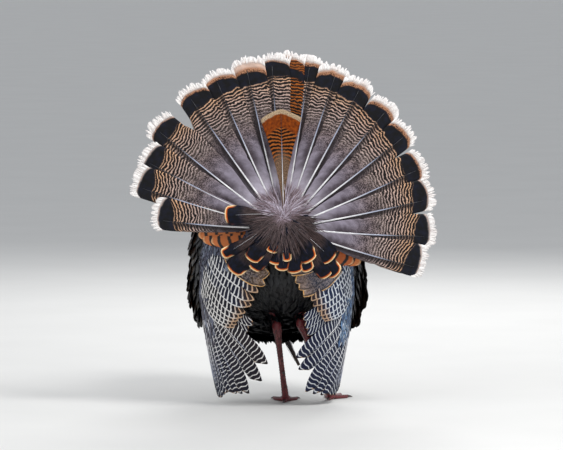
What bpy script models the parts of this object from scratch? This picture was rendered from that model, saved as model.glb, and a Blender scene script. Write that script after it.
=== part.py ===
"""Wild turkey tom in full strut, life size, as a still model of separate solids.

Metres, +Z up, the bird faces -Y and its left side is +X. The origin ends up on the floor under the
middle of the bird's bounding box.
"""

import math

import bmesh
import bpy
import numpy as np
from mathutils import Matrix, Vector

# ---- driving dimensions, in metres and degrees ----
GAP = 0.0004  # left between pieces that meet
FLOOR = 0.0

FAN_CENTRE = Vector((0.004, 0.225, 0.456))
FAN_LEAN = 8.0  # the fan tips back from the vertical
FAN_SWEEP = 10.0  # the sides of the fan come forward
FAN_LAYER = 0.0014  # from one feather's face to the next one's, counted out from the middle
FEATHER_THICK = 0.0006
QUILL_START = 0.047
# The tail's feathers from the bird's left to its right: degrees from upright, length.
TAIL = (
    (87.5, 0.324),
    (74.8, 0.387),
    (64.2, 0.392),
    (51.8, 0.413),
    (35.2, 0.422),
    (24.2, 0.426),
    (13.2, 0.434),
    (4.5, 0.434),
    (-1.0, 0.437),
    (-8.5, 0.431),
    (-18.0, 0.422),
    (-28.0, 0.414),
    (-40.8, 0.404),
    (-53.0, 0.395),
    (-67.5, 0.384),
    (-80.5, 0.383),
    (-95.5, 0.383),
    (-108.8, 0.372),
)

SHORT_FEATHER = (0.302, 0.049)
TAIL_BASE_RADIUS = 0.044
BODY_SEGMENTS = 22
BODY_RINGS = 15
SQUARE_ABOVE = 2.4  # exponent of the body's sections above their widest height
WIDEST = 0.40  # share of the height at which the body is widest

# Trunk sections from the breast back to the vent: y, half width, lowest z, highest z, and how
# square the section is below its widest height.
TRUNK = (
    (-0.300, 0.075, 0.320, 0.470, 2.1),
    (-0.270, 0.130, 0.240, 0.525, 2.2),
    (-0.215, 0.187, 0.182, 0.572, 2.4),
    (-0.150, 0.219, 0.158, 0.600, 2.8),
    (-0.080, 0.225, 0.152, 0.606, 3.3),
    (-0.010, 0.196, 0.186, 0.600, 3.2),
    (0.060, 0.160, 0.240, 0.585, 2.6),
    (0.130, 0.132, 0.282, 0.558, 2.3),
    (0.190, 0.098, 0.318, 0.520, 2.2),
    (0.222, 0.060, 0.365, 0.480, 2.2),
)
TRUNK_ENDS = (-0.318, 0.236)

# The wing's outer face, by height: z, half width, depth behind the body's middle.
MANTLE = (
    (0.450, 0.183, 0.228),
    (0.360, 0.199, 0.243),
    (0.280, 0.201, 0.238),
    (0.200, 0.192, 0.205),
    (0.120, 0.179, 0.160),
    (0.050, 0.165, 0.125),
    (0.000, 0.157, 0.105),
)
WING_THICK = 0.022
PRIMARY_THICK = 0.006
WING_GAP = 0.0006
WING_SCALE = {"left": 1.0, "right": 0.93}
# How near the middle each wing's rear edge comes, by height: z, x.
REAR_EDGE = {
    "left": ((0.44, 0.060), (0.36, 0.022), (0.33, 0.018), (0.27, 0.050), (0.19, 0.086)),
    "right": ((0.44, 0.060), (0.36, 0.016), (0.31, 0.010), (0.27, 0.034), (0.19, 0.055)),
}
# The same for the primaries, out to each feather's tip and back to the notch under it.
PRIMARY_EDGE = {
    "left": (
        (0.188, 0.086),
        (0.152, 0.070),
        (0.136, 0.086),
        (0.095, 0.083),
        (0.082, 0.096),
        (0.034, 0.101),
        (0.026, 0.113),
        (0.0, 0.126),
    ),
    "right": (
        (0.188, 0.056),
        (0.120, 0.045),
        (0.112, 0.060),
        (0.092, 0.060),
        (0.084, 0.072),
        (0.048, 0.076),
        (0.040, 0.088),
        (0.022, 0.092),
        (0.016, 0.104),
        (0.0, 0.112),
    ),
}
WING_FRONT = ((0.45, -0.055), (0.30, -0.050), (0.19, -0.040), (0.10, -0.012), (0.0, 0.030))

HOCK = {"left": Vector((0.010, 0.046, 0.196)), "right": Vector((-0.050, 0.046, 0.203))}
ANKLE = {"left": Vector((-0.016, -0.016, 0.012)), "right": Vector((-0.133, -0.062, 0.012))}
HIP = {"left": Vector((0.075, -0.055, 0.300)), "right": Vector((-0.085, -0.060, 0.300))}
FOOT_TURN = {"left": 4.0, "right": 24.0}  # toes turned out to the bird's right
# Toes: name, angle from straight ahead, length to the claw, radius at the root.
TOES = (
    ("inner", 33.0, 0.052, 0.0068),
    ("middle", 0.0, 0.068, 0.0074),
    ("outer", -34.0, 0.050, 0.0066),
    ("hind", 172.0, 0.026, 0.0056),
)
CLAW_LENGTH = 0.017

HEAD_CENTRE = Vector((0.0, -0.232, 0.664))
EYE_RADIUS = 0.0062
EYE_CENTRE = Vector((0.0155, -0.2455, 0.6705))
NECK_PATH = (
    # x, y, z, half width, half depth
    (0.0, -0.178, 0.500, 0.0540, 0.0560),
    (0.0, -0.196, 0.548, 0.0440, 0.0460),
    (0.0, -0.205, 0.590, 0.0330, 0.0350),
    (0.0, -0.207, 0.622, 0.0265, 0.0290),
    (0.0, -0.208, 0.652, 0.0190, 0.0220),
)

COLOURS = {
    "bronze": (0.055, 0.040, 0.030, 0.42),
    "barred": (0.150, 0.120, 0.095, 0.60),
    "tail": (0.140, 0.095, 0.065, 0.62),
    "chestnut": (0.360, 0.130, 0.040, 0.60),
    "vent": (0.045, 0.035, 0.035, 0.60),
    "red_skin": (0.480, 0.060, 0.045, 0.45),
    "head_skin": (0.430, 0.500, 0.620, 0.45),
    "horn": (0.300, 0.230, 0.160, 0.35),
    "leg": (0.270, 0.060, 0.050, 0.50),
    "claw": (0.070, 0.050, 0.040, 0.35),
    "eye": (0.020, 0.012, 0.008, 0.05),
    "beard": (0.020, 0.017, 0.016, 0.55),
}


# ---- small helpers ----
def clear_scene():
    for obj in list(bpy.data.objects):
        bpy.data.objects.remove(obj, do_unlink=True)


def new_collection(name):
    made = bpy.data.collections.new(name)
    bpy.context.scene.collection.children.link(made)
    return made


def material(name):
    found = bpy.data.materials.get(name)
    if found:
        return found
    red, green, blue, roughness = COLOURS[name]
    made = bpy.data.materials.new(name)
    made.use_nodes = True
    shader = made.node_tree.nodes["Principled BSDF"]
    shader.inputs["Base Color"].default_value = (red, green, blue, 1.0)
    shader.inputs["Roughness"].default_value = roughness
    shader.inputs["Metallic"].default_value = 0.0
    return made


def add_object(name, mesh, finish, collection):
    obj = bpy.data.objects.new(name, mesh)
    obj.data.materials.append(material(finish))
    collection.objects.link(obj)
    return obj


def from_bmesh(name, bm, finish, collection):
    """Closes a bmesh into a named object with its faces pointing out."""
    bmesh.ops.remove_doubles(bm, verts=bm.verts, dist=1e-6)
    bmesh.ops.recalc_face_normals(bm, faces=bm.faces)
    bmesh.ops.triangulate(bm, faces=[f for f in bm.faces if len(f.verts) == 4])
    mesh = bpy.data.meshes.new(name)
    bm.to_mesh(mesh)
    bm.free()
    mesh.shade_smooth()
    return add_object(name, mesh, finish, collection)


def between(table, at, column=1):
    """Reads a column of a table of stations at a value of its first column, by straight lines."""
    rows = sorted(table)
    return float(np.interp(at, [r[0] for r in rows], [r[column] for r in rows]))


def smooth_rows(rows, count):
    """Rows spaced evenly along a Catmull-Rom curve through the given ones."""
    points = [np.array(r, float) for r in rows]
    points = [2 * points[0] - points[1], *points, 2 * points[-1] - points[-2]]
    spans = len(points) - 3
    found = []
    for step in range(count):
        place = step / (count - 1) * spans
        i = min(int(place), spans - 1)
        t = place - i
        a, b, c, d = points[i : i + 4]
        found.append(
            0.5 * (2 * b + (c - a) * t + (2 * a - 5 * b + 4 * c - d) * t**2 + (3 * b - a - 3 * c + d) * t**3)
        )
    return found


def loft(name, rings, finish, collection, tips=(None, None)):
    """A closed body through rings of points, each end capped by a tip point or a flat face."""
    bm = bmesh.new()
    made = [[bm.verts.new(p) for p in ring] for ring in rings]
    for low, high in zip(made, made[1:]):
        for i in range(len(low)):
            j = (i + 1) % len(low)
            bm.faces.new((low[i], low[j], high[j], high[i]))
    for ring, tip in ((made[0], tips[0]), (made[-1], tips[1])):
        if tip is None:
            bm.faces.new(ring)
            continue
        point = bm.verts.new(tip)
        for i in range(len(ring)):
            bm.faces.new((ring[i], ring[(i + 1) % len(ring)], point))
    return from_bmesh(name, bm, finish, collection)


def ball(name, centre, radii, finish, collection, segments=16, rings=10):
    bm = bmesh.new()
    bmesh.ops.create_uvsphere(bm, u_segments=segments, v_segments=rings, radius=1.0)
    bmesh.ops.scale(bm, vec=radii, verts=bm.verts)
    bmesh.ops.translate(bm, vec=centre, verts=bm.verts)
    return from_bmesh(name, bm, finish, collection)


def rod(name, rows, finish, collection, resolution=2, samples=10):
    """A tapered round rod: each row is x, y, z, radius."""
    curve = bpy.data.curves.new(name, "CURVE")
    curve.dimensions = "3D"
    curve.bevel_depth = 1.0
    curve.bevel_resolution = resolution
    curve.use_fill_caps = True
    spline = curve.splines.new("POLY")
    stations = smooth_rows(rows, samples)
    spline.points.add(len(stations) - 1)
    for point, (x, y, z, radius) in zip(spline.points, stations):
        point.co = (x, y, z, 1.0)
        point.radius = radius
    return meshed(bpy.data.objects.new(name, curve), finish, collection)


def meshed(curve_object, finish, collection):
    """Makes a curve a closed mesh and removes the curve."""
    name = curve_object.name
    collection.objects.link(curve_object)
    bpy.context.view_layer.update()
    graph = bpy.context.evaluated_depsgraph_get()
    mesh = bpy.data.meshes.new_from_object(curve_object.evaluated_get(graph))
    matrix = curve_object.matrix_world.copy()
    bpy.data.objects.remove(curve_object, do_unlink=True)
    bm = bmesh.new()
    bm.from_mesh(mesh)
    bpy.data.meshes.remove(mesh)
    bmesh.ops.transform(bm, matrix=matrix, verts=bm.verts)
    return from_bmesh(name, bm, finish, collection)


def grown(obj, by, cutters):
    """A hidden copy of a piece as it was before any cut, a little larger, to cut its neighbours."""
    whole = bpy.data.meshes.get("whole_" + obj.name, obj.data)
    copy = bpy.data.objects.new("cut_by_" + obj.name, whole.copy())
    bm = bmesh.new()
    bm.from_mesh(whole)
    bm.normal_update()
    moved = [v.co + v.normal * by for v in bm.verts]
    bm.free()
    for vertex, place in zip(copy.data.vertices, moved):
        vertex.co = place
    copy.hide_render = True
    copy.display_type = "WIRE"
    cutters.objects.link(copy)
    return copy


def apply_boolean(target, tool, operation):
    """Cuts or joins a piece with a tool, and keeps the result as its mesh."""
    modifier = target.modifiers.new(operation.lower(), "BOOLEAN")
    modifier.operation = operation
    modifier.solver = "EXACT"
    modifier.object = tool
    bpy.context.view_layer.update()
    graph = bpy.context.evaluated_depsgraph_get()
    mesh = bpy.data.meshes.new_from_object(target.evaluated_get(graph))
    target.modifiers.remove(modifier)
    old = target.data
    target.data = mesh
    bpy.data.meshes.remove(old)


def keep_largest(target):
    """Drops crumbs that a cut leaves beside the main body."""
    bm = bmesh.new()
    bm.from_mesh(target.data)
    left = set(bm.verts)
    groups = []
    while left:
        stack = [left.pop()]
        group = set(stack)
        while stack:
            for edge in stack.pop().link_edges:
                for vertex in edge.verts:
                    if vertex in left:
                        left.remove(vertex)
                        group.add(vertex)
                        stack.append(vertex)
        groups.append(group)
    groups.sort(key=len)
    crumbs = [v for group in groups[:-1] for v in group]
    bmesh.ops.delete(bm, geom=crumbs, context="VERTS")
    bm.to_mesh(target.data)
    bm.free()


def cut(target, neighbours, cutters, gap=GAP):
    """Takes each neighbour's shape, grown by the gap, out of a piece."""
    if "whole_" + target.name not in bpy.data.meshes:
        target.data.copy().name = "whole_" + target.name
    for neighbour in neighbours:
        tool = grown(neighbour, gap, cutters)
        apply_boolean(target, tool, "DIFFERENCE")
    keep_largest(target)


def join(target, others):
    for other in others:
        apply_boolean(target, other, "UNION")
        bpy.data.objects.remove(other, do_unlink=True)


def stand_on_floor(target):
    """Cuts a flat sole at the floor."""
    bm = bmesh.new()
    bm.from_mesh(target.data)
    everything = [*bm.verts, *bm.edges, *bm.faces]
    found = bmesh.ops.bisect_plane(
        bm, geom=everything, plane_co=(0, 0, FLOOR), plane_no=(0, 0, 1), clear_inner=True
    )
    rim = [g for g in found["geom_cut"] if isinstance(g, bmesh.types.BMEdge)]
    bmesh.ops.edgeloop_fill(bm, edges=rim)
    bmesh.ops.recalc_face_normals(bm, faces=bm.faces)
    bm.to_mesh(target.data)
    bm.free()


# ---- trunk, neck and head ----
def section(y, half_width, low, high, square_below, count=BODY_SEGMENTS):
    """One upright cross-section of the trunk, a rounded square."""
    ring = []
    for i in range(count):
        angle = 2 * math.pi * i / count
        across, up = math.cos(angle), math.sin(angle)
        square = SQUARE_ABOVE if up > 0 else square_below
        reach = (abs(across) ** square + abs(up) ** square) ** (-1 / square)
        middle = low + WIDEST * (high - low)
        height = high - middle if up > 0 else middle - low
        ring.append(Vector((half_width * across * reach, y, middle + height * up * reach)))
    return ring


def make_trunk(body):
    rings = [section(*row) for row in smooth_rows(TRUNK, BODY_RINGS)]
    front, back = TRUNK[0], TRUNK[-1]
    tips = (
        (0, TRUNK_ENDS[0], (front[2] + front[3]) / 2),
        (0, TRUNK_ENDS[1], (back[2] + back[3]) / 2),
    )
    return loft("trunk", rings, "bronze", body, tips)


def flat_ring(x, y, z, half_width, half_depth, tilt, count=12):
    """A ring around a neck or a bill, turned about X by tilt degrees."""
    turn = Matrix.Rotation(math.radians(tilt), 3, "X")
    steps = [2 * math.pi * i / count for i in range(count)]
    return [
        Vector((x, y, z)) + turn @ Vector((half_width * math.cos(a), half_depth * math.sin(a), 0))
        for a in steps
    ]


def make_neck(body, trunk, cutters):
    rings = [flat_ring(*row, 8) for row in smooth_rows(NECK_PATH, 10)]
    neck = loft("neck", rings, "red_skin", body)
    cut(neck, [trunk], cutters)
    return neck


def head_ring(y, half_width, low, high, count=12):
    """An upright section of the head, broader above the middle than at the throat."""
    ring = []
    for i in range(count):
        angle = 2 * math.pi * i / count
        across, up = math.cos(angle), math.sin(angle)
        narrow = 1.0 + 0.10 * up
        ring.append(Vector((half_width * across * narrow, y, (low + high) / 2 + (high - low) / 2 * up)))
    return ring


def make_head(body, neck, cutters):
    # y, half width, lowest z, highest z from the nape to the root of the bill
    profile = (
        (-0.190, 0.0120, 0.640, 0.672),
        (-0.200, 0.0185, 0.632, 0.684),
        (-0.218, 0.0210, 0.632, 0.6915),
        (-0.238, 0.0205, 0.638, 0.6930),
        (-0.256, 0.0165, 0.644, 0.6870),
        (-0.271, 0.0120, 0.647, 0.6760),
    )
    rings = [head_ring(*row) for row in smooth_rows(profile, 9)]
    head = loft("head", rings, "head_skin", body, ((0, -0.186, 0.656), None))
    cut(neck, [head], cutters)
    eyes = []
    for side, sign in (("left", 1), ("right", -1)):
        centre = EYE_CENTRE * Vector((sign, 1, 1))
        radii = (EYE_RADIUS * 0.80, EYE_RADIUS, EYE_RADIUS)
        eyes.append(ball(f"eye_{side}", centre, radii, "eye", body, 12, 8))
    cut(head, eyes, cutters)
    return head, eyes


def make_bill(body, head, cutters):
    # y, half width, lowest z, highest z; the upper half hooks over the lower one
    upper_rows = (
        (-0.268, 0.0108, 0.6580, 0.6745),
        (-0.282, 0.0088, 0.6550, 0.6715),
        (-0.296, 0.0060, 0.6500, 0.6650),
        (-0.307, 0.0028, 0.6420, 0.6540),
    )
    lower_rows = (
        (-0.268, 0.0100, 0.6485, 0.6574),
        (-0.282, 0.0080, 0.6470, 0.6544),
        (-0.294, 0.0052, 0.6445, 0.6498),
        (-0.300, 0.0026, 0.6430, 0.6462),
    )
    made = []
    for name, rows in (("bill_upper", upper_rows), ("bill_lower", lower_rows)):
        rings = [head_ring(*row, 10) for row in smooth_rows(rows, 6)]
        made.append(loft(name, rings, "horn", body))
    upper, lower = made
    cut(lower, [upper], cutters)
    for piece in made:
        cut(piece, [head], cutters)
    return made


def make_snood(body, others, cutters):
    rows = (
        (0.000, -0.2560, 0.6880, 0.0060),
        (0.003, -0.2720, 0.6890, 0.0068),
        (0.011, -0.2850, 0.6780, 0.0070),
        (0.0175, -0.2905, 0.6560, 0.0066),
        (0.0190, -0.2925, 0.6300, 0.0062),
        (0.0185, -0.2930, 0.6040, 0.0048),
    )
    snood = rod("snood", rows, "red_skin", body, 2, 11)
    cut(snood, others, cutters)
    return snood


def make_dewlap(body, others, cutters):
    """The throat's wattle and the big caruncles at its foot."""
    dewlap = rod(
        "dewlap",
        (
            (0, -0.2460, 0.6420, 0.0065),
            (0, -0.2480, 0.6200, 0.0105),
            (0, -0.2500, 0.5950, 0.0150),
            (0, -0.2540, 0.5680, 0.0200),
        ),
        "red_skin",
        body,
        2,
        6,
    )
    lumps = []
    for i, (x, y, z, radius) in enumerate(
        (
            (0.016, -0.254, 0.556, 0.0165),
            (-0.017, -0.255, 0.552, 0.0170),
            (0.000, -0.270, 0.540, 0.0190),
            (0.028, -0.240, 0.538, 0.0130),
            (-0.029, -0.240, 0.536, 0.0135),
        )
    ):
        lumps.append(ball(f"lump_{i}", (x, y, z), (radius,) * 3, "red_skin", body, 10, 6))
    join(dewlap, lumps)
    cut(dewlap, others, cutters)
    return dewlap


def make_beard(body, trunk, cutters):
    rows = (
        (0.000, -0.300, 0.362, 0.0090),
        (-0.003, -0.326, 0.330, 0.0120),
        (-0.010, -0.340, 0.255, 0.0120),
        (-0.022, -0.342, 0.180, 0.0100),
        (-0.043, -0.336, 0.115, 0.0072),
        (-0.070, -0.326, 0.060, 0.0030),
    )
    beard = rod("beard", rows, "beard", body, 1, 12)
    cut(beard, [trunk], cutters)
    return beard


# ---- tail ----
def fan_ray(angle):
    """The direction of a feather's shaft at this angle in the fan."""
    lean, turn = math.radians(FAN_LEAN), math.radians(angle)
    up = Vector((0, math.sin(lean), math.cos(lean)))
    behind = Vector((0, math.cos(lean), -math.sin(lean)))
    sweep = math.radians(FAN_SWEEP) * math.sin(turn) ** 2
    flat = math.sin(turn) * Vector((1, 0, 0)) + math.cos(turn) * up
    return math.cos(sweep) * flat - math.sin(sweep) * behind


def fan_axes(angle):
    """Along, across and behind directions of a feather, which lies on the dished face of the fan."""
    along = fan_ray(angle)
    onward = fan_ray(angle + 0.5) - fan_ray(angle - 0.5)
    across = (onward - along * onward.dot(along)).normalized()
    return along, across, along.cross(across)


def fan_point(angle, radius, depth):
    """A point on the fan's face, moved straight back from it by a depth."""
    lean = math.radians(FAN_LEAN)
    return FAN_CENTRE + fan_ray(angle) * radius + Vector((0, math.cos(lean), -math.sin(lean))) * depth


def vane_outline(length, left, right, quill=0.0022, steps=5):
    """A tail feather's quill, widening vane and blunt tip, as x along and y to the bird's left."""
    start = QUILL_START
    widen = 0.085
    points = []
    for side, width in ((1, left), (-1, right)):
        half = [(start, side * quill), (widen, side * quill)]
        for i in range(1, steps):
            t = i / steps
            reach = widen + (length - 0.016 - widen) * t
            half.append((reach, side * (quill + (width - quill) * min(1, t * 1.15) ** 0.6)))
        half.append((length - 0.014, side * width))
        half.append((length - 0.004, side * width * 0.80))
        half.append((length, side * width * 0.35))
        points.append(half)
    return points[0] + points[1][::-1]


def plank(name, outline, thickness, finish, collection, matrix):
    """A flat piece of this outline, centred on its plane."""
    curve = bpy.data.curves.new(name, "CURVE")
    curve.dimensions = "2D"
    curve.fill_mode = "BOTH"
    curve.extrude = thickness / 2
    spline = curve.splines.new("POLY")
    spline.use_cyclic_u = True
    spline.points.add(len(outline) - 1)
    for point, (x, y) in zip(spline.points, outline):
        point.co = (x, y, 0, 1)
    obj = bpy.data.objects.new(name, curve)
    obj.matrix_world = matrix
    return meshed(obj, finish, collection)


def fan_matrix(angle, depth):
    along, across, behind = fan_axes(angle)
    frame = Matrix((along, across, behind)).transposed().to_4x4()
    frame.translation = FAN_CENTRE + behind * depth
    return frame


def make_tail_feathers(body):
    """Eighteen broad feathers; each overlaps its inner neighbour from behind."""
    feathers = []
    half = len(TAIL) / 2
    for i, (angle, length) in enumerate(TAIL):
        place = half - 0.5 - i
        out = (abs(place) - 0.5) / (half - 1)
        broad, narrow = 0.041 + 0.017 * out, 0.038 - 0.014 * out
        left, right = (narrow, broad) if place > 0 else (broad, narrow)
        layer = 2 * abs(place) - (1 if place > 0 else 0)
        depth = 0.004 + FAN_LAYER * layer
        outline = vane_outline(length, left, right)
        name = f"tail_feather_{i + 1:02d}"
        feathers.append(plank(name, outline, FEATHER_THICK, "tail", body, fan_matrix(angle, depth)))
    return feathers


def make_short_feather(body):
    """A short chestnut covert that stands up behind the middle of the fan, widening to its tip."""
    length, half_width = SHORT_FEATHER
    right = [(QUILL_START, 0.0022), (0.120, 0.009), (0.180, 0.024), (0.245, 0.040)]
    right += [(length - 0.022, half_width), (length - 0.012, half_width * 0.96)]
    right += [(length - 0.003, half_width * 0.45)]
    outline = [(x, -y) for x, y in right] + [(length, 0.0)] + right[::-1]
    return plank(
        "tail_feather_short", outline, FEATHER_THICK, "chestnut", body, fan_matrix(2.0, 0.0292)
    )


def make_tail_base(body, trunk, cutters):
    base = ball("tail_base", FAN_CENTRE, (TAIL_BASE_RADIUS,) * 3, "vent", body, 14, 9)
    cut(trunk, [base], cutters)
    return base


def make_upper_coverts(body, others, cutters):
    """The second, smaller fan in front of the tail, from the rump feathers out to the covert tips."""
    fan_start, fan_end = -82.0, 78.0
    columns, rows = 12, 4
    inner_radius, outer_radius = 0.040, 0.245
    bm = bmesh.new()

    def face_point(i, j, front):
        angle = fan_start + (fan_end - fan_start) * i / columns
        share = j / rows
        radius = inner_radius + (outer_radius - inner_radius) * share
        thick = 0.060 * (1 - share) ** 1.5 + 0.003
        return fan_point(angle, radius, -0.0005 - (thick if front else 0))

    grids = [
        [[bm.verts.new(face_point(i, j, front)) for j in range(rows + 1)] for i in range(columns + 1)]
        for front in (False, True)
    ]
    close_slab(bm, grids)
    coverts = from_bmesh("tail_coverts_upper", bm, "chestnut", body)
    cut(coverts, others, cutters, 0.0010)
    return coverts


def close_slab(bm, grids):
    """Faces for two facing grids of vertices and the rim between them."""
    back, front = grids
    columns, rows = len(back) - 1, len(back[0]) - 1
    for i in range(columns):
        for j in range(rows):
            bm.faces.new((back[i][j], back[i + 1][j], back[i + 1][j + 1], back[i][j + 1]))
            bm.faces.new((front[i][j], front[i][j + 1], front[i + 1][j + 1], front[i + 1][j]))
    for i in range(columns):
        bm.faces.new((back[i][0], front[i][0], front[i + 1][0], back[i + 1][0]))
        bm.faces.new((back[i][rows], back[i + 1][rows], front[i + 1][rows], front[i][rows]))
    for j in range(rows):
        bm.faces.new((back[0][j], back[0][j + 1], front[0][j + 1], front[0][j]))
        bm.faces.new((back[columns][j], front[columns][j], front[columns][j + 1], back[columns][j + 1]))


def make_under_coverts(body, others, cutters):
    """The dark apron of feathers that hangs from the vent over the tops of the wings."""
    apron = ball("tail_coverts_under", (0, 0, 0), (1, 1, 1), "vent", body, 16, 8)
    for vertex in apron.data.vertices:
        x, y, z = vertex.co
        # Broad and round below, narrow at the vent.
        width = 0.128 if z < 0 else 0.128 * (1 - 0.45 * z)
        height = 0.092 if z < 0 else 0.105
        vertex.co = (-0.010 + width * x, 0.250 + 0.036 * y, 0.385 + height * z)
    cut(apron, others, cutters, 0.0012)
    return apron


# ---- wings ----
def mantle_point(side, z, x_share, inset):
    """A point on the wing's outer face, x_share of the half width from the middle, moved inwards by inset."""
    sign = 1 if side == "left" else -1
    half = between(MANTLE, z, 1) * WING_SCALE[side] - inset
    depth = between(MANTLE, z, 2) - inset
    x = half * x_share
    return Vector((sign * x, depth * math.sqrt(max(0.0, 1 - x_share**2)), z))


def wing_row(side, z, start, end, count, inset):
    """Points at one height, from the turn angle start to end: 0 at the side, 90 at the rear."""
    row = []
    for i in range(count + 1):
        turn = math.radians(start + (end - start) * i / count)
        sign = 1 if side == "left" else -1
        half = between(MANTLE, z, 1) * WING_SCALE[side] - inset
        depth = between(MANTLE, z, 2) - inset
        row.append(Vector((sign * half * math.cos(turn), depth * math.sin(turn), z)))
    return row


def turn_at_x(side, z, x):
    half = between(MANTLE, z, 1) * WING_SCALE[side]
    return math.degrees(math.acos(max(-1.0, min(1.0, x / half))))


def turn_at_y(z, y):
    return math.degrees(math.asin(max(-1.0, min(1.0, y / between(MANTLE, z, 2)))))


def wing_panel(name, side, heights, start_of, end_of, thickness, finish, body, count=8):
    """A slab of the wing between two turn angles that depend on height."""
    bm = bmesh.new()
    grids = []
    for inset in (0.0, thickness):
        grids.append(
            [
                [bm.verts.new(p) for p in wing_row(side, z, start_of(z), end_of(z), count, inset)]
                for z in heights
            ]
        )
    close_slab(bm, grids)
    return from_bmesh(name, bm, finish, body)


def make_wing(side, body, trunk, cutters):
    """Three panels: smooth coverts in front, folded secondaries behind, primaries down to the floor."""
    split_z = 0.188
    tops = list(np.linspace(0.445, split_z + WING_GAP, 8))

    def front(z):
        return turn_at_y(z, between(WING_FRONT, z))

    def middle(z):
        return turn_at_x(side, z, 0.155 * WING_SCALE[side] + 0.05 * (0.30 - z))

    def rear(z):
        return turn_at_x(side, z, between(REAR_EDGE[side], z))

    def tip_edge(z):
        return turn_at_x(side, z, between(PRIMARY_EDGE[side], z))

    coverts = wing_panel(
        f"wing_{side}_coverts", side, tops, front, lambda z: middle(z) - 0.2, WING_THICK, "bronze", body, 5
    )
    secondaries = wing_panel(
        f"wing_{side}_secondaries", side, tops, middle, rear, WING_THICK, "barred", body, 8
    )
    lows = [z for z, _ in PRIMARY_EDGE[side]]
    primaries = wing_panel(
        f"wing_{side}_primaries", side, lows, front, tip_edge, PRIMARY_THICK, "barred", body, 7
    )
    for panel in (coverts, secondaries, primaries):
        cut(panel, [trunk], cutters)
    return [coverts, secondaries, primaries]


# ---- legs ----
def make_leg(side, body, trunk, wings, cutters):
    hip, hock, ankle = HIP[side], HOCK[side], ANKLE[side]
    thigh_rows = (
        (*hip, 0.040),
        (*hip.lerp(hock, 0.40), 0.044),
        (*hip.lerp(hock, 0.75), 0.034),
        (*hip.lerp(hock, 0.97), 0.0150),
    )
    thigh = rod(f"thigh_{side}", thigh_rows, "bronze", body, 3, 9)
    drop = ankle - hock
    shank_rows = (
        (*(hock - drop * 0.03), 0.0095),
        (*(hock + drop * 0.05), 0.0118),
        (*(hock + drop * 0.18), 0.0082),
        (*(hock + drop * 0.60), 0.0066),
        (*(hock + drop * 0.90), 0.0080),
        (*(hock + drop * 0.985), 0.0085),
    )
    shank = rod(f"shank_{side}", shank_rows, "leg", body, 2, 10)
    cut(trunk, [shank], cutters)
    cut(thigh, [trunk, shank], cutters)
    spur_root = hock.lerp(ankle, 0.66)
    inwards = Vector((-0.25 if side == "left" else 0.25, 1.0, 0.10)).normalized()
    spur_rows = (
        (*(spur_root + inwards * 0.003), 0.0046),
        (*(spur_root + inwards * 0.012), 0.0034),
        (*(spur_root + inwards * 0.020 + Vector((0, 0, 0.002))), 0.0009),
    )
    spur = rod(f"spur_{side}", spur_rows, "claw", body, 1, 5)
    cut(spur, [shank], cutters)
    foot, claws = make_foot(side, body, cutters)
    cut(foot, [shank], cutters)
    cut(thigh, wings, cutters)
    return [thigh, shank, spur, foot, *claws]


def make_foot(side, body, cutters):
    """Three toes forward and one back, joined in a pad, with flat soles and a claw on each toe."""
    ankle = ANKLE[side]
    foot = ball(f"foot_{side}", ankle + Vector((0, 0, -0.003)), (0.0115, 0.0125, 0.0095), "leg", body, 12, 8)
    toes, claws = [], []
    for name, angle, length, radius in TOES:
        turn = math.radians(angle - FOOT_TURN[side] if side == "left" else -angle - FOOT_TURN[side])
        ahead = Vector((math.sin(turn), -math.cos(turn), 0))
        root, tip = ankle.copy(), ankle + ahead * length
        low = radius * 0.58
        rows = (
            (root.x, root.y, ankle.z - 0.001, radius),
            (*(root + ahead * length * 0.30).xy, low + 0.0012, radius * 0.98),
            (*(root + ahead * length * 0.65).xy, low, radius * 0.90),
            (tip.x, tip.y, low * 0.92, radius * 0.80),
        )
        toes.append(rod(f"toe_{side}_{name}", rows, "leg", body, 1, 6))
        end = tip + Vector((0, 0, low * 0.92 - tip.z))
        claw_rows = (
            (*(end - ahead * 0.002), radius * 0.50),
            (*(end + ahead * CLAW_LENGTH * 0.45 + Vector((0, 0, 0.0008))), radius * 0.42),
            (*(end + ahead * CLAW_LENGTH + Vector((0, 0, -0.0018))), radius * 0.12),
        )
        claws.append(rod(f"claw_{side}_{name}", claw_rows, "claw", body, 1, 5))
    join(foot, toes)
    stand_on_floor(foot)
    for claw in claws:
        cut(claw, [foot], cutters)
    return foot, claws


def centre_on_origin(body):
    """Moves the bird level so that the origin is under the middle of its bounding box."""
    corners = np.array([v.co for obj in body.objects for v in obj.data.vertices])
    middle = (corners.min(axis=0) + corners.max(axis=0)) / 2
    for obj in body.objects:
        obj.data.transform(Matrix.Translation((-middle[0], -middle[1], 0.0)))


def main():
    clear_scene()
    body = new_collection("wild_turkey")
    cutters = new_collection("cutters")
    cutters.hide_render = True
    trunk = make_trunk(body)
    tail_base = make_tail_base(body, trunk, cutters)
    neck = make_neck(body, trunk, cutters)
    head, eyes = make_head(body, neck, cutters)
    bill = make_bill(body, head, cutters)
    snood = make_snood(body, [head, *bill, *eyes], cutters)
    make_dewlap(body, [trunk, neck, head, *bill, snood], cutters)
    make_beard(body, trunk, cutters)
    feathers = make_tail_feathers(body)
    short = make_short_feather(body)
    wings = [p for side in ("left", "right") for p in make_wing(side, body, trunk, cutters)]
    for side in ("left", "right"):
        make_leg(side, body, trunk, wings, cutters)
    upper = make_upper_coverts(body, [trunk, tail_base, *wings], cutters)
    make_under_coverts(body, [trunk, tail_base, upper, *wings, *feathers, short], cutters)
    centre_on_origin(body)


main()
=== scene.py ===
import math
import bmesh
import bpy
import numpy as np
from mathutils import Matrix, Vector, noise
from mathutils.bvhtree import BVHTree


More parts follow.
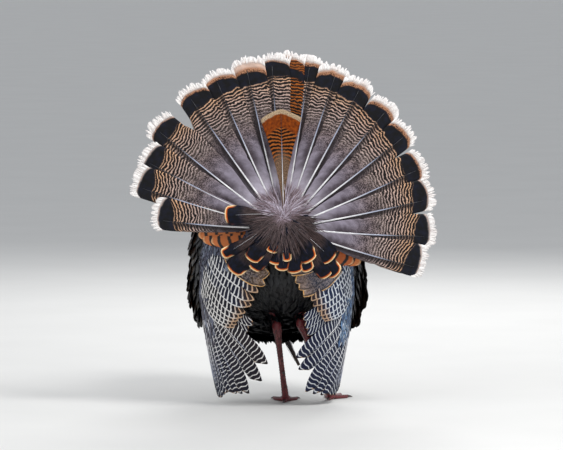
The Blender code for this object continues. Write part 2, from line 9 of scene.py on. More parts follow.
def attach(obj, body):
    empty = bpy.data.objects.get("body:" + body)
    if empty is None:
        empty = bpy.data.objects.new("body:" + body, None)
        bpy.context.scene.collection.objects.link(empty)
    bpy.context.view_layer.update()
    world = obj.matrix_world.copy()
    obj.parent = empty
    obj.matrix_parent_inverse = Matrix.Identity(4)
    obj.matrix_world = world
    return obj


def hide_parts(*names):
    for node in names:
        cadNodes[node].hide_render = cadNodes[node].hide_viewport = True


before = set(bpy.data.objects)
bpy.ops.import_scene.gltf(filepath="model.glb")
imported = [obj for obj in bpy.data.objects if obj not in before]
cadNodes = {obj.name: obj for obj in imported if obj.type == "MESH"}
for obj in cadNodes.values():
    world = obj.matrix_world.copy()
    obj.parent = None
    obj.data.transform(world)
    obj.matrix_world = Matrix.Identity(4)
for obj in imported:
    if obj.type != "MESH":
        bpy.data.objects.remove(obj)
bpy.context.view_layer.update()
shift = np.array((-0.0007, 0.0281, 0.0))  # from the bird's own middle to the frame's
dice = np.random.default_rng(11)
brush = {}  # the material being painted: its paint, node tree and shader sockets
print("frame loaded:", len(cadNodes), "nodes")


# Wires are the outputs of shader nodes. Sums of wires and numbers become Math nodes.
class Wire:
    def __init__(self, socket):
        self.socket = socket

    def __abs__(self):
        return calc("ABSOLUTE", self)


def calc(operation, a, b=None):
    return put("Math", (a, b), operation=operation)


for sign, operation in {
    "add": "ADD", "sub": "SUBTRACT", "mul": "MULTIPLY", "truediv": "DIVIDE", "pow": "POWER",
    "gt": "GREATER_THAN", "lt": "LESS_THAN",
}.items():
    setattr(Wire, f"__{sign}__", lambda a, b, operation=operation: calc(operation, a, b))
    if sign not in ("gt", "lt"):
        setattr(Wire, f"__r{sign}__", lambda b, a, operation=operation: calc(operation, a, b))


def lesser(a, b):
    return calc("MINIMUM", a, b)


def greater(a, b):
    return calc("MAXIMUM", a, b)


def sine(a):
    return calc("SINE", a)


# A colour code as the linear colour that sockets take.
def hue(code):
    rgb = [int(code[i : i + 2], 16) / 255 for i in (1, 3, 5)]
    return (*[c / 12.92 if c < 0.04045 else ((c + 0.055) / 1.055) ** 2.4 for c in rgb], 1.0)


def feed(socket, value):
    if isinstance(value, Wire):
        brush["tree"].links.new(value.socket, socket)
    elif value is not None:
        socket.default_value = hue(value) if isinstance(value, str) else value


def put(kind, inputs=(), out=0, **settings):
    node = brush["tree"].nodes.new("ShaderNode" + kind)
    for key, value in settings.items():
        setattr(node, key, value)
    for key, value in inputs.items() if isinstance(inputs, dict) else enumerate(inputs):
        feed(node.inputs[key], value)
    return Wire(node.outputs[out])


# From 0 to 1 while the value goes from start to end, softly.
def rise(value, start, end):
    return put("MapRange", {0: value, 1: start, 2: end, 3: 0.0, 4: 1.0}, interpolation_type="SMOOTHSTEP")


def blend(share, a, b, mode="MIX"):
    return put("Mix", {0: share, 6: a, 7: b}, out=2, data_type="RGBA", blend_type=mode)


def attr(name):
    return put("Attribute", out=2, attribute_name=name)


def parted(vector):
    split = put("SeparateXYZ", (vector,)).socket.node
    return [Wire(socket) for socket in split.outputs]


# On feathers: metres across from the shaft, and metres back from the tip.
def vaneUv():
    return parted(put("UVMap", uv_map="vane"))[:2]


def grain(x, y, z, detail=2.0):
    return put("TexNoise", {"Vector": put("CombineXYZ", (x, y, z)), "Scale": 1.0, "Detail": detail})


def objectGrain(scale, detail=3.0):
    return put("TexNoise", {"Vector": put("TexCoord", out=3), "Scale": scale, "Detail": detail})


def ramp(share, *stops):
    wire = put("ValToRGB", (share,))
    marks = wire.socket.node.color_ramp.elements
    while len(marks) < len(stops):
        marks.new(0.5)
    for mark, (at, code) in zip(marks, stops):
        mark.position = at
        mark.color = hue(code)
    return wire


def newPaint(name, **fixed):
    paint = bpy.data.materials.new(name)
    paint.use_nodes = True
    tree = paint.node_tree
    tree.nodes.clear()
    end = tree.nodes.new("ShaderNodeOutputMaterial")
    shader = tree.nodes.new("ShaderNodeBsdfPrincipled")
    tree.links.new(shader.outputs[0], end.inputs[0])
    brush.update(paint=paint, tree=tree, sockets=shader.inputs)
    for key, value in fixed.items():
        shader.inputs[key.replace("_", " ")].default_value = value


# The paint's last step: its colour and, where given, the bump of its surface.
def painted(colour, height=None, strength=0.4, distance=0.001):
    feed(brush["sockets"]["Base Color"], colour)
    if height is not None:
        bump = put("Bump", {"Strength": strength, "Distance": distance, "Height": height})
        feed(brush["sockets"]["Normal"], bump)
    return brush["paint"]


# A thin flat card, with u from -1 to 1 across it and v from 0 to 1 along it.
def featherCard(columns, rows):
    bm = bmesh.new()
    bmesh.ops.create_grid(bm, x_segments=columns, y_segments=rows, size=0.5)
    bmesh.ops.solidify(bm, geom=bm.faces[:], thickness=1.0)
    bmesh.ops.recalc_face_normals(bm, faces=bm.faces[:])
    bm.verts.index_update()
    co = np.array([v.co[:] for v in bm.verts])
    corners = np.array([[v.index for v in f.verts] for f in bm.faces])
    flat = np.array([abs(f.normal.z) < 0.5 for f in bm.faces])
    bm.free()
    return {
        "u": co[:, 0] * 2, "v": co[:, 1] + 0.5, "under": (co[:, 2] < co[:, 2].max() - 0.5) * 1.0,
        "faces": corners, "rim": flat,
    }


# A tube of radius 1, with v from 0 to 1 along it.
def tubeForm(sides, rows):
    bm = bmesh.new()
    bmesh.ops.create_circle(bm, cap_ends=True, segments=sides, radius=1.0)
    last = bm.faces[:]
    for _ in range(rows):
        grown = bmesh.ops.extrude_face_region(bm, geom=last)["geom"]
        bmesh.ops.translate(
            bm, vec=(0, 0, 1 / rows), verts=[g for g in grown if isinstance(g, bmesh.types.BMVert)],
        )
        if last[0].calc_center_median().z > 0.01:
            bmesh.ops.delete(bm, geom=last, context="FACES")
        last = [g for g in grown if isinstance(g, bmesh.types.BMFace) and len(g.verts) == sides]
    bmesh.ops.recalc_face_normals(bm, faces=bm.faces[:])
    bm.verts.index_update()
    co = np.array([v.co[:] for v in bm.verts])
    faces = [[v.index for v in f.verts] for f in sorted(bm.faces, key=lambda f: len(f.verts) != 4)]
    bm.free()
    return {"x": co[:, 0], "y": co[:, 1], "v": co[:, 2], "faces": faces}


def newObject(name, mesh):
    obj = bpy.data.objects.new(name, mesh)
    bpy.context.scene.collection.objects.link(obj)
    return obj


def objectFrom(bm, name):
    mesh = bpy.data.meshes.new(name)
    bm.to_mesh(mesh)
    bm.free()
    return newObject(name, mesh)


def markPoints(mesh, **marks):
    for key, data in marks.items():
        mark = mesh.attributes.new(key, "FLOAT", "POINT")
        mark.data.foreach_set("value", data.astype(np.float32).ravel())


def smoothFaces(mesh):
    mesh.polygons.foreach_set("use_smooth", np.ones(len(mesh.polygons), bool))


# Many copies of one form in one mesh: points are (copies, points of the form, 3), faces its corners.
def joinedMesh(name, points, faces, marks, uvs, rim=None):
    count, size = points.shape[:2]
    total = np.array([len(f) for f in faces])
    corners = np.concatenate([np.asarray(f) for f in faces])
    copies = np.arange(count)[:, None]
    loops = (corners[None] + copies * size).ravel()
    starts = (np.concatenate(([0], np.cumsum(total)[:-1]))[None] + copies * total.sum()).ravel()
    mesh = bpy.data.meshes.new(name)
    mesh.vertices.add(count * size)
    mesh.vertices.foreach_set("co", points.astype(np.float32).ravel())
    mesh.loops.add(len(loops))
    mesh.loops.foreach_set("vertex_index", loops.astype(np.int32))
    mesh.polygons.add(len(starts))
    mesh.polygons.foreach_set("loop_start", starts.astype(np.int32))
    smooth = np.ones(len(faces), bool) if rim is None else ~np.asarray(rim)
    mesh.polygons.foreach_set("use_smooth", np.tile(smooth, count))
    for key, data in uvs.items():
        layer = mesh.uv_layers.new(name=key)
        layer.uv.foreach_set("vector", data.reshape(-1, 2)[loops].astype(np.float32).ravel())
    markPoints(mesh, **{key: np.broadcast_to(data, (count, size)) for key, data in marks.items()})
    mesh.update(calc_edges=True)
    mesh.validate()
    return newObject(name, mesh)


def unit(a):
    return a / np.maximum(np.linalg.norm(a, axis=-1, keepdims=True), 1e-9)


# One more row for each of the named lists.
def note(rows, **values):
    for key, value in values.items():
        rows.setdefault(key, []).append(value)


# Many small feathers, bent copies of one card. The spots list each one's root, along, out, long, wide,
# tone, kind and bake, and the form says how they narrow, droop, arch and curl.
def growFeathers(name, card, spots, form, paint, slotName, *stands):
    spots = {key: np.array(value, float) for key, value in spots.items()}
    u, v, under = card["u"], card["v"], card["under"]
    shape = (len(spots["root"]), len(v))
    long, wide = spots["long"][:, None], spots["wide"][:, None]
    along, out = unit(spots["along"]), unit(spots["out"])
    out = unit(out - along * (along * out).sum(-1, keepdims=True))
    side = np.cross(along, out)
    half = np.interp(v, *form["half"]) * (1 + form.get("ragged", 0) * (dice.random(shape) - 0.5))
    drop = form["drop"] * u**2
    reach = v - drop * v**2 + form.get("rough", 0) * (dice.random(shape) - 0.5) * (v > 0.95)
    x = u * half * wide / 2
    y = reach * long
    curl = spots["curl"][:, None] if "curl" in spots else form["curl"]
    z = -form["camber"] * u**2 * half * wide + curl * v**2 * long - under * form["thick"] * (1.15 - v)
    points = spots["root"][:, None] + side[:, None] * x[..., None]
    points = points + along[:, None] * y[..., None] + out[:, None] * z[..., None]
    fromEnd = (1 - drop)[None] * long - y
    marks = {
        "tone": spots["tone"][:, None],
        "kind": spots["kind"][:, None] if "kind" in spots else 0.0,
        "edge": np.minimum((1 - np.abs(u)) * half * wide / 2, fromEnd),
        "under": under[None],
    }
    bake = spots["bake"][:, None] + 0.003 * np.stack((u / 2, v - 0.5), -1)[None]
    uvs = {"vane": np.stack((x, fromEnd), -1), "OFBake": bake}
    obj = joinedMesh(name, points, card["faces"], marks, uvs, card["rim"])
    return finishPiece(obj, paint, slotName, *stands)


# One long vane along a line of points, with its own half width each side (A where u is negative).
def layVane(card, line, out, halfA, halfB, end, camber, tilt=0.0, lift=0.0):
    u, v, under = card["u"], card["v"], card["under"]
    steps = np.linspace(0, 1, len(line))
    lengths = np.concatenate(([0], np.cumsum(np.linalg.norm(np.diff(line, axis=0), axis=1))))
    total = lengths[-1]
    share = np.clip(v + (end(u) / total) * v**3, 0, 1.2)
    at = share * total
    pick = lambda rows: np.stack([np.interp(at, lengths, rows[:, k]) for k in range(3)], -1)
    along = unit(np.gradient(line, lengths, axis=0))
    centre, ahead = pick(line), unit(pick(along))
    centre = centre + ahead * np.maximum(at - total, 0)[:, None]
    away = unit(pick(out))
    away = unit(away - ahead * (ahead * away).sum(-1, keepdims=True))
    aside = np.cross(ahead, away)
    half = np.where(u < 0, np.interp(v, steps, halfA), np.interp(v, steps, halfB))
    x = u * half
    z = lift - camber * u**2 + tilt * u - under * vaneThickness
    return centre + aside * x[:, None] + away * z[:, None], x, total + end(u) - at


def layTube(form, line, thick, thin):
    steps = np.linspace(0, 1, len(line))
    pick = lambda rows: np.stack([np.interp(form["v"], steps, rows[:, k]) for k in range(3)], -1)
    ahead = unit(pick(np.gradient(line, axis=0)))
    other = np.where(np.abs(ahead[:, 1:2]) < 0.9, np.array([[0, 1.0, 0]]), np.array([[1.0, 0, 0]]))
    aside = unit(np.cross(ahead, other))
    away = np.cross(ahead, aside)
    radius = np.interp(form["v"], steps, np.linspace(thick, thin, len(line)))[:, None]
    return pick(line) + (aside * form["x"][:, None] + away * form["y"][:, None]) * radius


def finishPiece(obj, paint, slotName, *stands):
    obj.data.materials.clear()
    obj.data.materials.append(paint)
    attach(obj, "root")
    if stands:
        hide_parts(*stands)
    print("made", obj.name, len(obj.data.polygons), "faces")
    return obj


# One piece of long feathers, laid one by one, from rows of points, vane, bake and marks for the paint.
def vanePiece(name, card, rows, paint, slotName, *stands):
    rows = {key: np.array(value, float) for key, value in rows.items()}
    points = rows.pop("points")
    uvs = {"vane": rows.pop("vane"), "OFBake": rows.pop("bake")}
    marks = {key: value.reshape(len(points), -1) for key, value in rows.items()}
    marks["under"] = card["under"][None]
    obj = joinedMesh(name, points, card["faces"], marks, uvs, card["rim"])
    finishPiece(obj, paint, slotName, *stands)


# The strip of the bake that one of several long feathers fills, its under face above its top.
def bakeStrip(card, k, count):
    u, v, under = card["u"], card["v"], card["under"]
    return np.stack(((k + 0.5 + 0.45 * u) / count, 0.01 + 0.48 * v + 0.5 * under), -1)


# One piece of quills or bristles.
def tubePiece(name, form, tubes, kind, paint, slotName, *stands, **marks):
    uv = np.stack((form["x"], form["v"]), -1)[None].repeat(len(tubes), 0)
    marks["kind"] = kind[None]
    obj = joinedMesh(name, np.array(tubes), form["faces"], marks, {"vane": uv})
    finishPiece(obj, paint, slotName, *stands)


vaneThickness = 0.0005
bodyAxis = np.array((0, -0.05, 0.38)) + shift


# Where a root lies on an unwrap of the body: round its long axis, and along it.
def skinPlace(points):
    d = points - bodyAxis
    turn = np.arctan2(d[:, 0], d[:, 2]) / (2 * math.pi) + 0.5
    return np.stack((0.02 + 0.96 * turn, 0.02 + 0.96 * np.clip((d[:, 1] + 0.33) / 0.70, 0, 1)), -1)


# The fan. Feathers are listed from one side to the other: angle from upright, length.
tail = {
    "centre": np.array((0.004, 0.225, 0.456)) + shift,
    "lean": math.radians(8),
    "sweep": math.radians(10),
    "layer": 0.0014,
    "quillStart": 0.047,
    "tip": 0.0215,  # the white end, past the last station
    "steps": 40,
    "feathers": [
        (87.5, 0.324), (74.8, 0.387), (64.2, 0.392), (51.8, 0.413), (35.2, 0.422), (24.2, 0.426),
        (13.2, 0.434), (4.5, 0.434), (-1.0, 0.437), (-8.5, 0.431), (-18.0, 0.422), (-28.0, 0.414),
        (-40.8, 0.404), (-53.0, 0.395), (-67.5, 0.384), (-80.5, 0.383), (-95.5, 0.383), (-108.8, 0.372),
    ],
    "rufous": 8,  # one middle feather is barred chestnut right to its tip
    # How far the buff runs in below each white tip.
    "buff": (0, 0, 0, 0.1, 0.25, 0.4, 1.0, 0.15, 0.95, 0.4, 0.55, 0.5, 0.45, 0.35, 0.2, 0.05, 0, 0),
    "columns": 16,
    "rows": 60,
    "fringe": 96,  # loose barbs at each tip
    "tongues": 10,  # splits that part them
}
fanUp = np.array((0, math.sin(tail["lean"]), math.cos(tail["lean"])))
fanBack = np.array((0, math.cos(tail["lean"]), -math.sin(tail["lean"])))


# The way a fan feather points, its side swept forward.
def fanRay(angle):
    turn = math.radians(angle)
    sweep = tail["sweep"] * math.sin(turn) ** 2
    flat = math.sin(turn) * np.array((1.0, 0, 0)) + math.cos(turn) * fanUp
    return math.cos(sweep) * flat - math.sin(sweep) * fanBack


def fanAxes(angle):
    along = fanRay(angle)
    onward = fanRay(angle + 0.5) - fanRay(angle - 0.5)
    across = unit(onward - along * onward.dot(along))
    return along, across, np.cross(along, across)


# A half width with small notches torn in its edge.
def frayed(profile, notches, deepest):
    stations = np.linspace(0, 1, len(profile))
    for _ in range(notches):
        at, deep, wide = dice.uniform(0.12, 0.93), dice.uniform(0.02, deepest), dice.uniform(0.006, 0.014)
        profile = profile * (1 - deep * np.clip(1 - np.abs(stations - at) / wide, 0, 1))
    return profile


def tailPaint():
    newPaint("tailVanes", Roughness=0.55, Specular_IOR_Level=0.22)
    x, y = vaneUv()
    ax = abs(x)
    tone, middle, front = attr("tone"), attr("kind"), attr("under")
    rufous = rise(middle, 1.1, 1.3)
    middle = lesser(middle, 1.0)
    seed = tone * 40.0
    wander = grain(x * 70.0, y * 70.0, seed, 3.0) - 0.5
    finer = grain(x * 360.0, y * 520.0, seed, 3.0) - 0.5
    barb = sine((y + ax * 0.8) * 3600.0)
    # Each bar sags in the middle of its vane and climbs again to the edge.
    sag = 0.002 - abs(ax - 0.011) ** 2.0 * 15.0
    t = y + wander * 0.007 + finer * 0.003
    past = lambda mark, soft: rise(t - mark, -soft, soft)
    buffEnd = middle * 0.019 + 0.0185
    blackEnd = middle * 0.014 + 0.055 + sag * 0.9
    wave = wander * 0.013 + (y - sag)
    bars = rise(sine(wave * (2 * math.pi / 0.0076)) + finer * 2.8, 0.2, 0.75)
    along = y * 4.0
    tan = ramp(along, (0.22, "#DDAE88"), (0.36, "#D2B2A2"), (0.6, "#BDAEB0"), (0.85, "#A298A2"))
    tan = blend(front, tan, ramp(y * 3.0, (0.15, "#96522A"), (0.6, "#7A401C"), (1.0, "#5A2C14")))
    ground = blend(bars, "#140E0E", tan)
    fleck = rise(finer + wander * 0.35, -0.05, 0.07)
    mottle = blend(
        fleck, ramp(along, (0.4, "#1E1514"), (0.8, "#3A2E31"), (1.0, "#6A6167")),
        ramp(along, (0.4, "#B7A08F"), (0.65, "#8C7C7E"), (1.0, "#8F8793")),
    )
    mottle = blend(front, mottle, blend(fleck, "#3B2014", "#6E3D1E"))
    ground = blend(rise(t, 0.1, 0.17), ground, mottle)
    # Towards the root the vane is plain: pale by its broad edge, and darkened by the shaft with painted
    # shade.
    plain = blend(rise(ax + wander * 0.012, 0.004, 0.026), "#443A42", "#958D9C")
    plain = blend(rise(y, 0.24, 0.34), plain, "#D6CEDE")
    ground = blend(rise(t, 0.155, 0.235) * (0.92 - front * 0.5), ground, plain)
    # Painted shade on the outer vane, which lies under the neighbouring feather: darkest next to the shaft,
    # and spread over the whole vane towards the root.
    outer = attr("outer")
    ground = blend(rise(ax, 0.015, 0.006) * outer * 0.8, ground, "#1B1416")
    ground = blend(outer * rise(y, 0.11, 0.19) * 0.55, ground, "#2A2226")
    black = blend(rise(wander, -0.2, 0.25), "#09080B", "#0F1222")
    ground = blend(past(blackEnd, 0.003), black, ground)
    brown = blend(bars, "#120B08", "#B0601C")
    brown = blend(past(0.064, 0.003), black, brown)
    thin = rise(sine(wave * (2 * math.pi / 0.0062)) + finer * 2.0, -0.4, 0.4)
    brown = blend(past(0.042, 0.002), blend(thin, "#3A1C0A", "#94501A"), brown)
    ground = blend(rufous * rise(y, 0.24, 0.16), ground, brown)
    buff = blend(rise(finer + (buffEnd - y) * 12.0, -0.06, 0.1), "#4A2C1C", "#C08A68")
    buff = blend(rise(buffEnd - t, 0.006, 0.016), buff, "#DDBFAE")
    ground = blend(past(buffEnd - rufous * 0.018, 0.0018), buff, ground)
    white = blend(rise(barb, -1.0, 1.0), "#DAD3D2", "#F6F1EE")
    ground = blend(past(0.0165 - middle * 0.003, 0.0055), white, ground)
    shine = ramp(barb * 0.06 + (0.5 + wander), (0.15, "#CFCBCB"), (0.7, "#FFFFFF"))
    return painted(blend(1.0, ground, shine, "MULTIPLY"), barb, 0.25, 0.0003)


def fringePaint():
    newPaint("tailTips", Roughness=0.65, Specular_IOR_Level=0.25)
    x, y = vaneUv()
    tone = attr("tone")
    shade = ramp(tone, (0.0, "#EAE3E0"), (0.4, "#F5F0ED"), (1.0, "#FFFCF9"))
    streak = grain(x * 1600.0, y * 90.0, tone * 30.0)
    shade = blend(rise(streak, 0.55, 0.7) * 0.3, shade, "#C4B8B3")
    return painted(blend(rise(y, 0.008, 0.018) * attr("kind"), shade, "#E2C4B2"), streak, 0.2, 0.0003)


def shaftPaint():
    newPaint("tailShafts", Roughness=0.4, Coat_Weight=0.25)
    y = attr("kind")
    streak = objectGrain(60.0)
    ivory = blend(rise(streak, 0.35, 0.7), "#D8D6DA", "#FBFAFA")
    colour = blend(rise(y, 0.42, 0.66), ivory, "#A3A9BE")
    colour = blend(rise(y, 0.68, 0.84), colour, "#14151F")
    return painted(colour)


def makeTail():
    card, strip, rod = featherCard(tail["columns"], tail["rows"]), featherCard(1, 3), tubeForm(6, 14)
    count, steps = len(tail["feathers"]), tail["steps"]
    vanes, tips, tubes = {}, {}, []
    for i, (angle, length) in enumerate(tail["feathers"]):
        place = count / 2 - 0.5 - i
        hand = 1 if place > 0 else -1
        out = (abs(place) - 0.5) / (count / 2 - 1)
        broad, narrow = 0.041 + 0.017 * out, 0.038 - 0.014 * out
        left, right = (narrow, broad) if place > 0 else (broad, narrow)
        depth = 0.004 + tail["layer"] * (2 * abs(place) - (1 if place < 0 else 0))
        along, across, behind = fanAxes(angle)
        base = tail["centre"] + behind * depth
        stop = length - tail["tip"]
        reach = np.linspace(tail["quillStart"], stop, steps)
        bow = 0.0035 * np.sin(np.linspace(0, math.pi, steps)) * hand * out
        line = base + along * reach[:, None] + across * bow[:, None]
        radii = np.linspace(tail["quillStart"], stop, 90)
        t = np.clip((radii - 0.060) / (length - 0.075), 0, 1)
        shape = np.minimum(1, t * 1.2) ** 0.55
        # Two feathers stand apart only near their tips.
        fuller = 0.011 * np.interp(radii, (0.12, 0.20, 0.315, 0.350), (0, 1, 1, 0))
        halves = []
        for widest, gap in ((left, 4), (right, 3)):
            half = frayed(0.0026 + (widest - 0.0026) * shape + fuller * (i == gap), 6, 0.16)
            halves.append(np.interp(np.linspace(0, 1, steps), np.linspace(0, 1, 90), half))
        arch = dice.normal(0, 0.0007, 9)
        end = lambda u: 0.0165 * np.clip(1 - np.abs(u) ** 2.3, 0, 1) ** 0.62 + np.interp(
            u, np.linspace(-1, 1, 9), arch,
        )
        points, x, fromEnd = layVane(card, line, np.tile(behind, (steps, 1)), *halves, end, camber=0.0009)
        middle = tail["buff"][i]
        note(
            vanes, points=points, vane=np.stack((x, fromEnd + 0.0055), -1), bake=bakeStrip(card, i, count),
            outer=(x < 0) if place > 0 else (x > 0), tone=dice.random(),
            kind=middle if i != tail["rufous"] else 1.4,
        )
        # Loose barbs carry the white tip past the vane's end.
        splits = np.sort(dice.uniform(-1, 1, tail["tongues"]))
        bounds = np.concatenate(((-1.05,), splits, (1.05,)))
        uneven = dice.normal(0, 0.0017, tail["tongues"] + 1)
        for share in np.linspace(-0.97, 0.97, tail["fringe"]):
            share += dice.normal(0, 0.004)
            tongue = np.searchsorted(splits, share)
            within = 2 * (share - bounds[tongue]) / (bounds[tongue + 1] - bounds[tongue]) - 1
            aside = share * (left if share < 0 else right)
            start = base - across * aside + along * (stop + end(share) - 0.0105)
            lean = share * 0.26 - within * 0.2 + dice.normal(0, 0.012) + 40 * uneven[tongue]
            shorter = 0.0034 * within**4
            note(
                tips, root=start + behind * (0.0003 * dice.normal()), along=along - across * lean, out=behind,
                long=0.017 + uneven[tongue] + dice.normal(0, 0.0004) - shorter - 0.003 * abs(share) ** 3,
                wide=dice.uniform(0.0022, 0.0042), tone=dice.random(), kind=middle * 0.8,
                curl=dice.normal(0, 0.03), bake=((i + 0.5 - 0.45 * share) / count, 0.9),
            )
        quill = np.linspace(0.012, length - 0.030, 15)
        bent = across * np.interp(quill, reach, bow)[:, None]
        tubes.append(layTube(rod, base + behind * 0.0004 + along * quill[:, None] + bent, 0.0029, 0.0008))
    names = [f"tail_feather_{k + 1:02d}" for k in range(count)]
    vanePiece("tail_vanes", card, vanes, tailPaint(), "tail_feathers", *names)
    form = dict(half=((0, 0.7, 1.0), (1.0, 0.92, 0.45)), drop=0, camber=0, thick=0.0004)
    growFeathers("tail_tip_barbs", strip, tips, form, fringePaint(), "tail_feathers")
    tubePiece("tail_shafts", rod, tubes, rod["v"], shaftPaint(), "tail_feathers")


def shortPaint():
    newPaint("chestnutPlume", Roughness=0.6, Specular_IOR_Level=0.1)
    x, y = vaneUv()
    ax = abs(x)
    rough = grain(x * 160.0, y * 160.0, 0.0, 4.0) - 0.5
    fine = grain(x * 700.0, y * 700.0, 3.0, 3.0) - 0.5
    t = y + rough * 0.006
    wave = t + ax * 0.8
    bars = rise(sine(wave * (2 * math.pi / 0.008)), 0.0, 0.5)
    barred = blend(bars, "#120A07", "#9A5420")
    chestnut = blend(rise(rough, -0.2, 0.25), "#5E2808", "#93440C")
    colour = blend(rise(t, 0.04, 0.048), chestnut, barred)
    mottle = blend(rise(fine, -0.1, 0.1), "#3A2A22", "#8C7059")
    colour = blend(rise(t, 0.085, 0.13), colour, mottle)
    band = blend(rise(fine, -0.1, 0.04), "#5E4A34", "#BFA688")
    colour = blend(rise(t, 0.0095, 0.0125), band, colour)
    return painted(colour, sine((y + ax) * 3600.0), 0.25, 0.0003)


def makeShortFeather():
    card, rod = featherCard(18, 44), tubeForm(6, 10)
    along, _, behind = fanAxes(2.0)
    base = tail["centre"] + behind * 0.0292
    stations = np.linspace(0.047, 0.277, tail["steps"])
    half = np.interp(
        stations, (0.047, 0.1, 0.15, 0.2, 0.245, 0.268, 0.277),
        (0.002, 0.006, 0.015, 0.027, 0.04, 0.048, 0.05),
    )
    bumps = dice.normal(0, 0.0006, 12)
    end = lambda u: 0.0225 * np.clip(1 - np.abs(u) ** 1.45, 0, 1) + np.interp(
        u, np.linspace(-1, 1, 12), bumps,
    )
    points, x, fromEnd = layVane(
        card, base + along * stations[:, None], np.tile(behind, (tail["steps"], 1)),
        frayed(half, 4, 0.08), frayed(half, 4, 0.08), end, camber=-0.004,
    )
    vane = {}
    note(vane, points=points, vane=np.stack((x, fromEnd), -1), bake=bakeStrip(card, 0, 1), tone=0.0)
    vanePiece("tail_short_plume", card, vane, shortPaint(), "chestnut_feathers", "tail_feather_short")
    quill = base + behind * 0.0006 + along * np.linspace(0.02, 0.285, 12)[:, None]
    tube = layTube(rod, quill, 0.0014, 0.0004)
    tubePiece("tail_short_shaft", rod, [tube], rod["v"], shaftPaint(), "chestnut_feathers")


makeTail()
makeShortFeather()


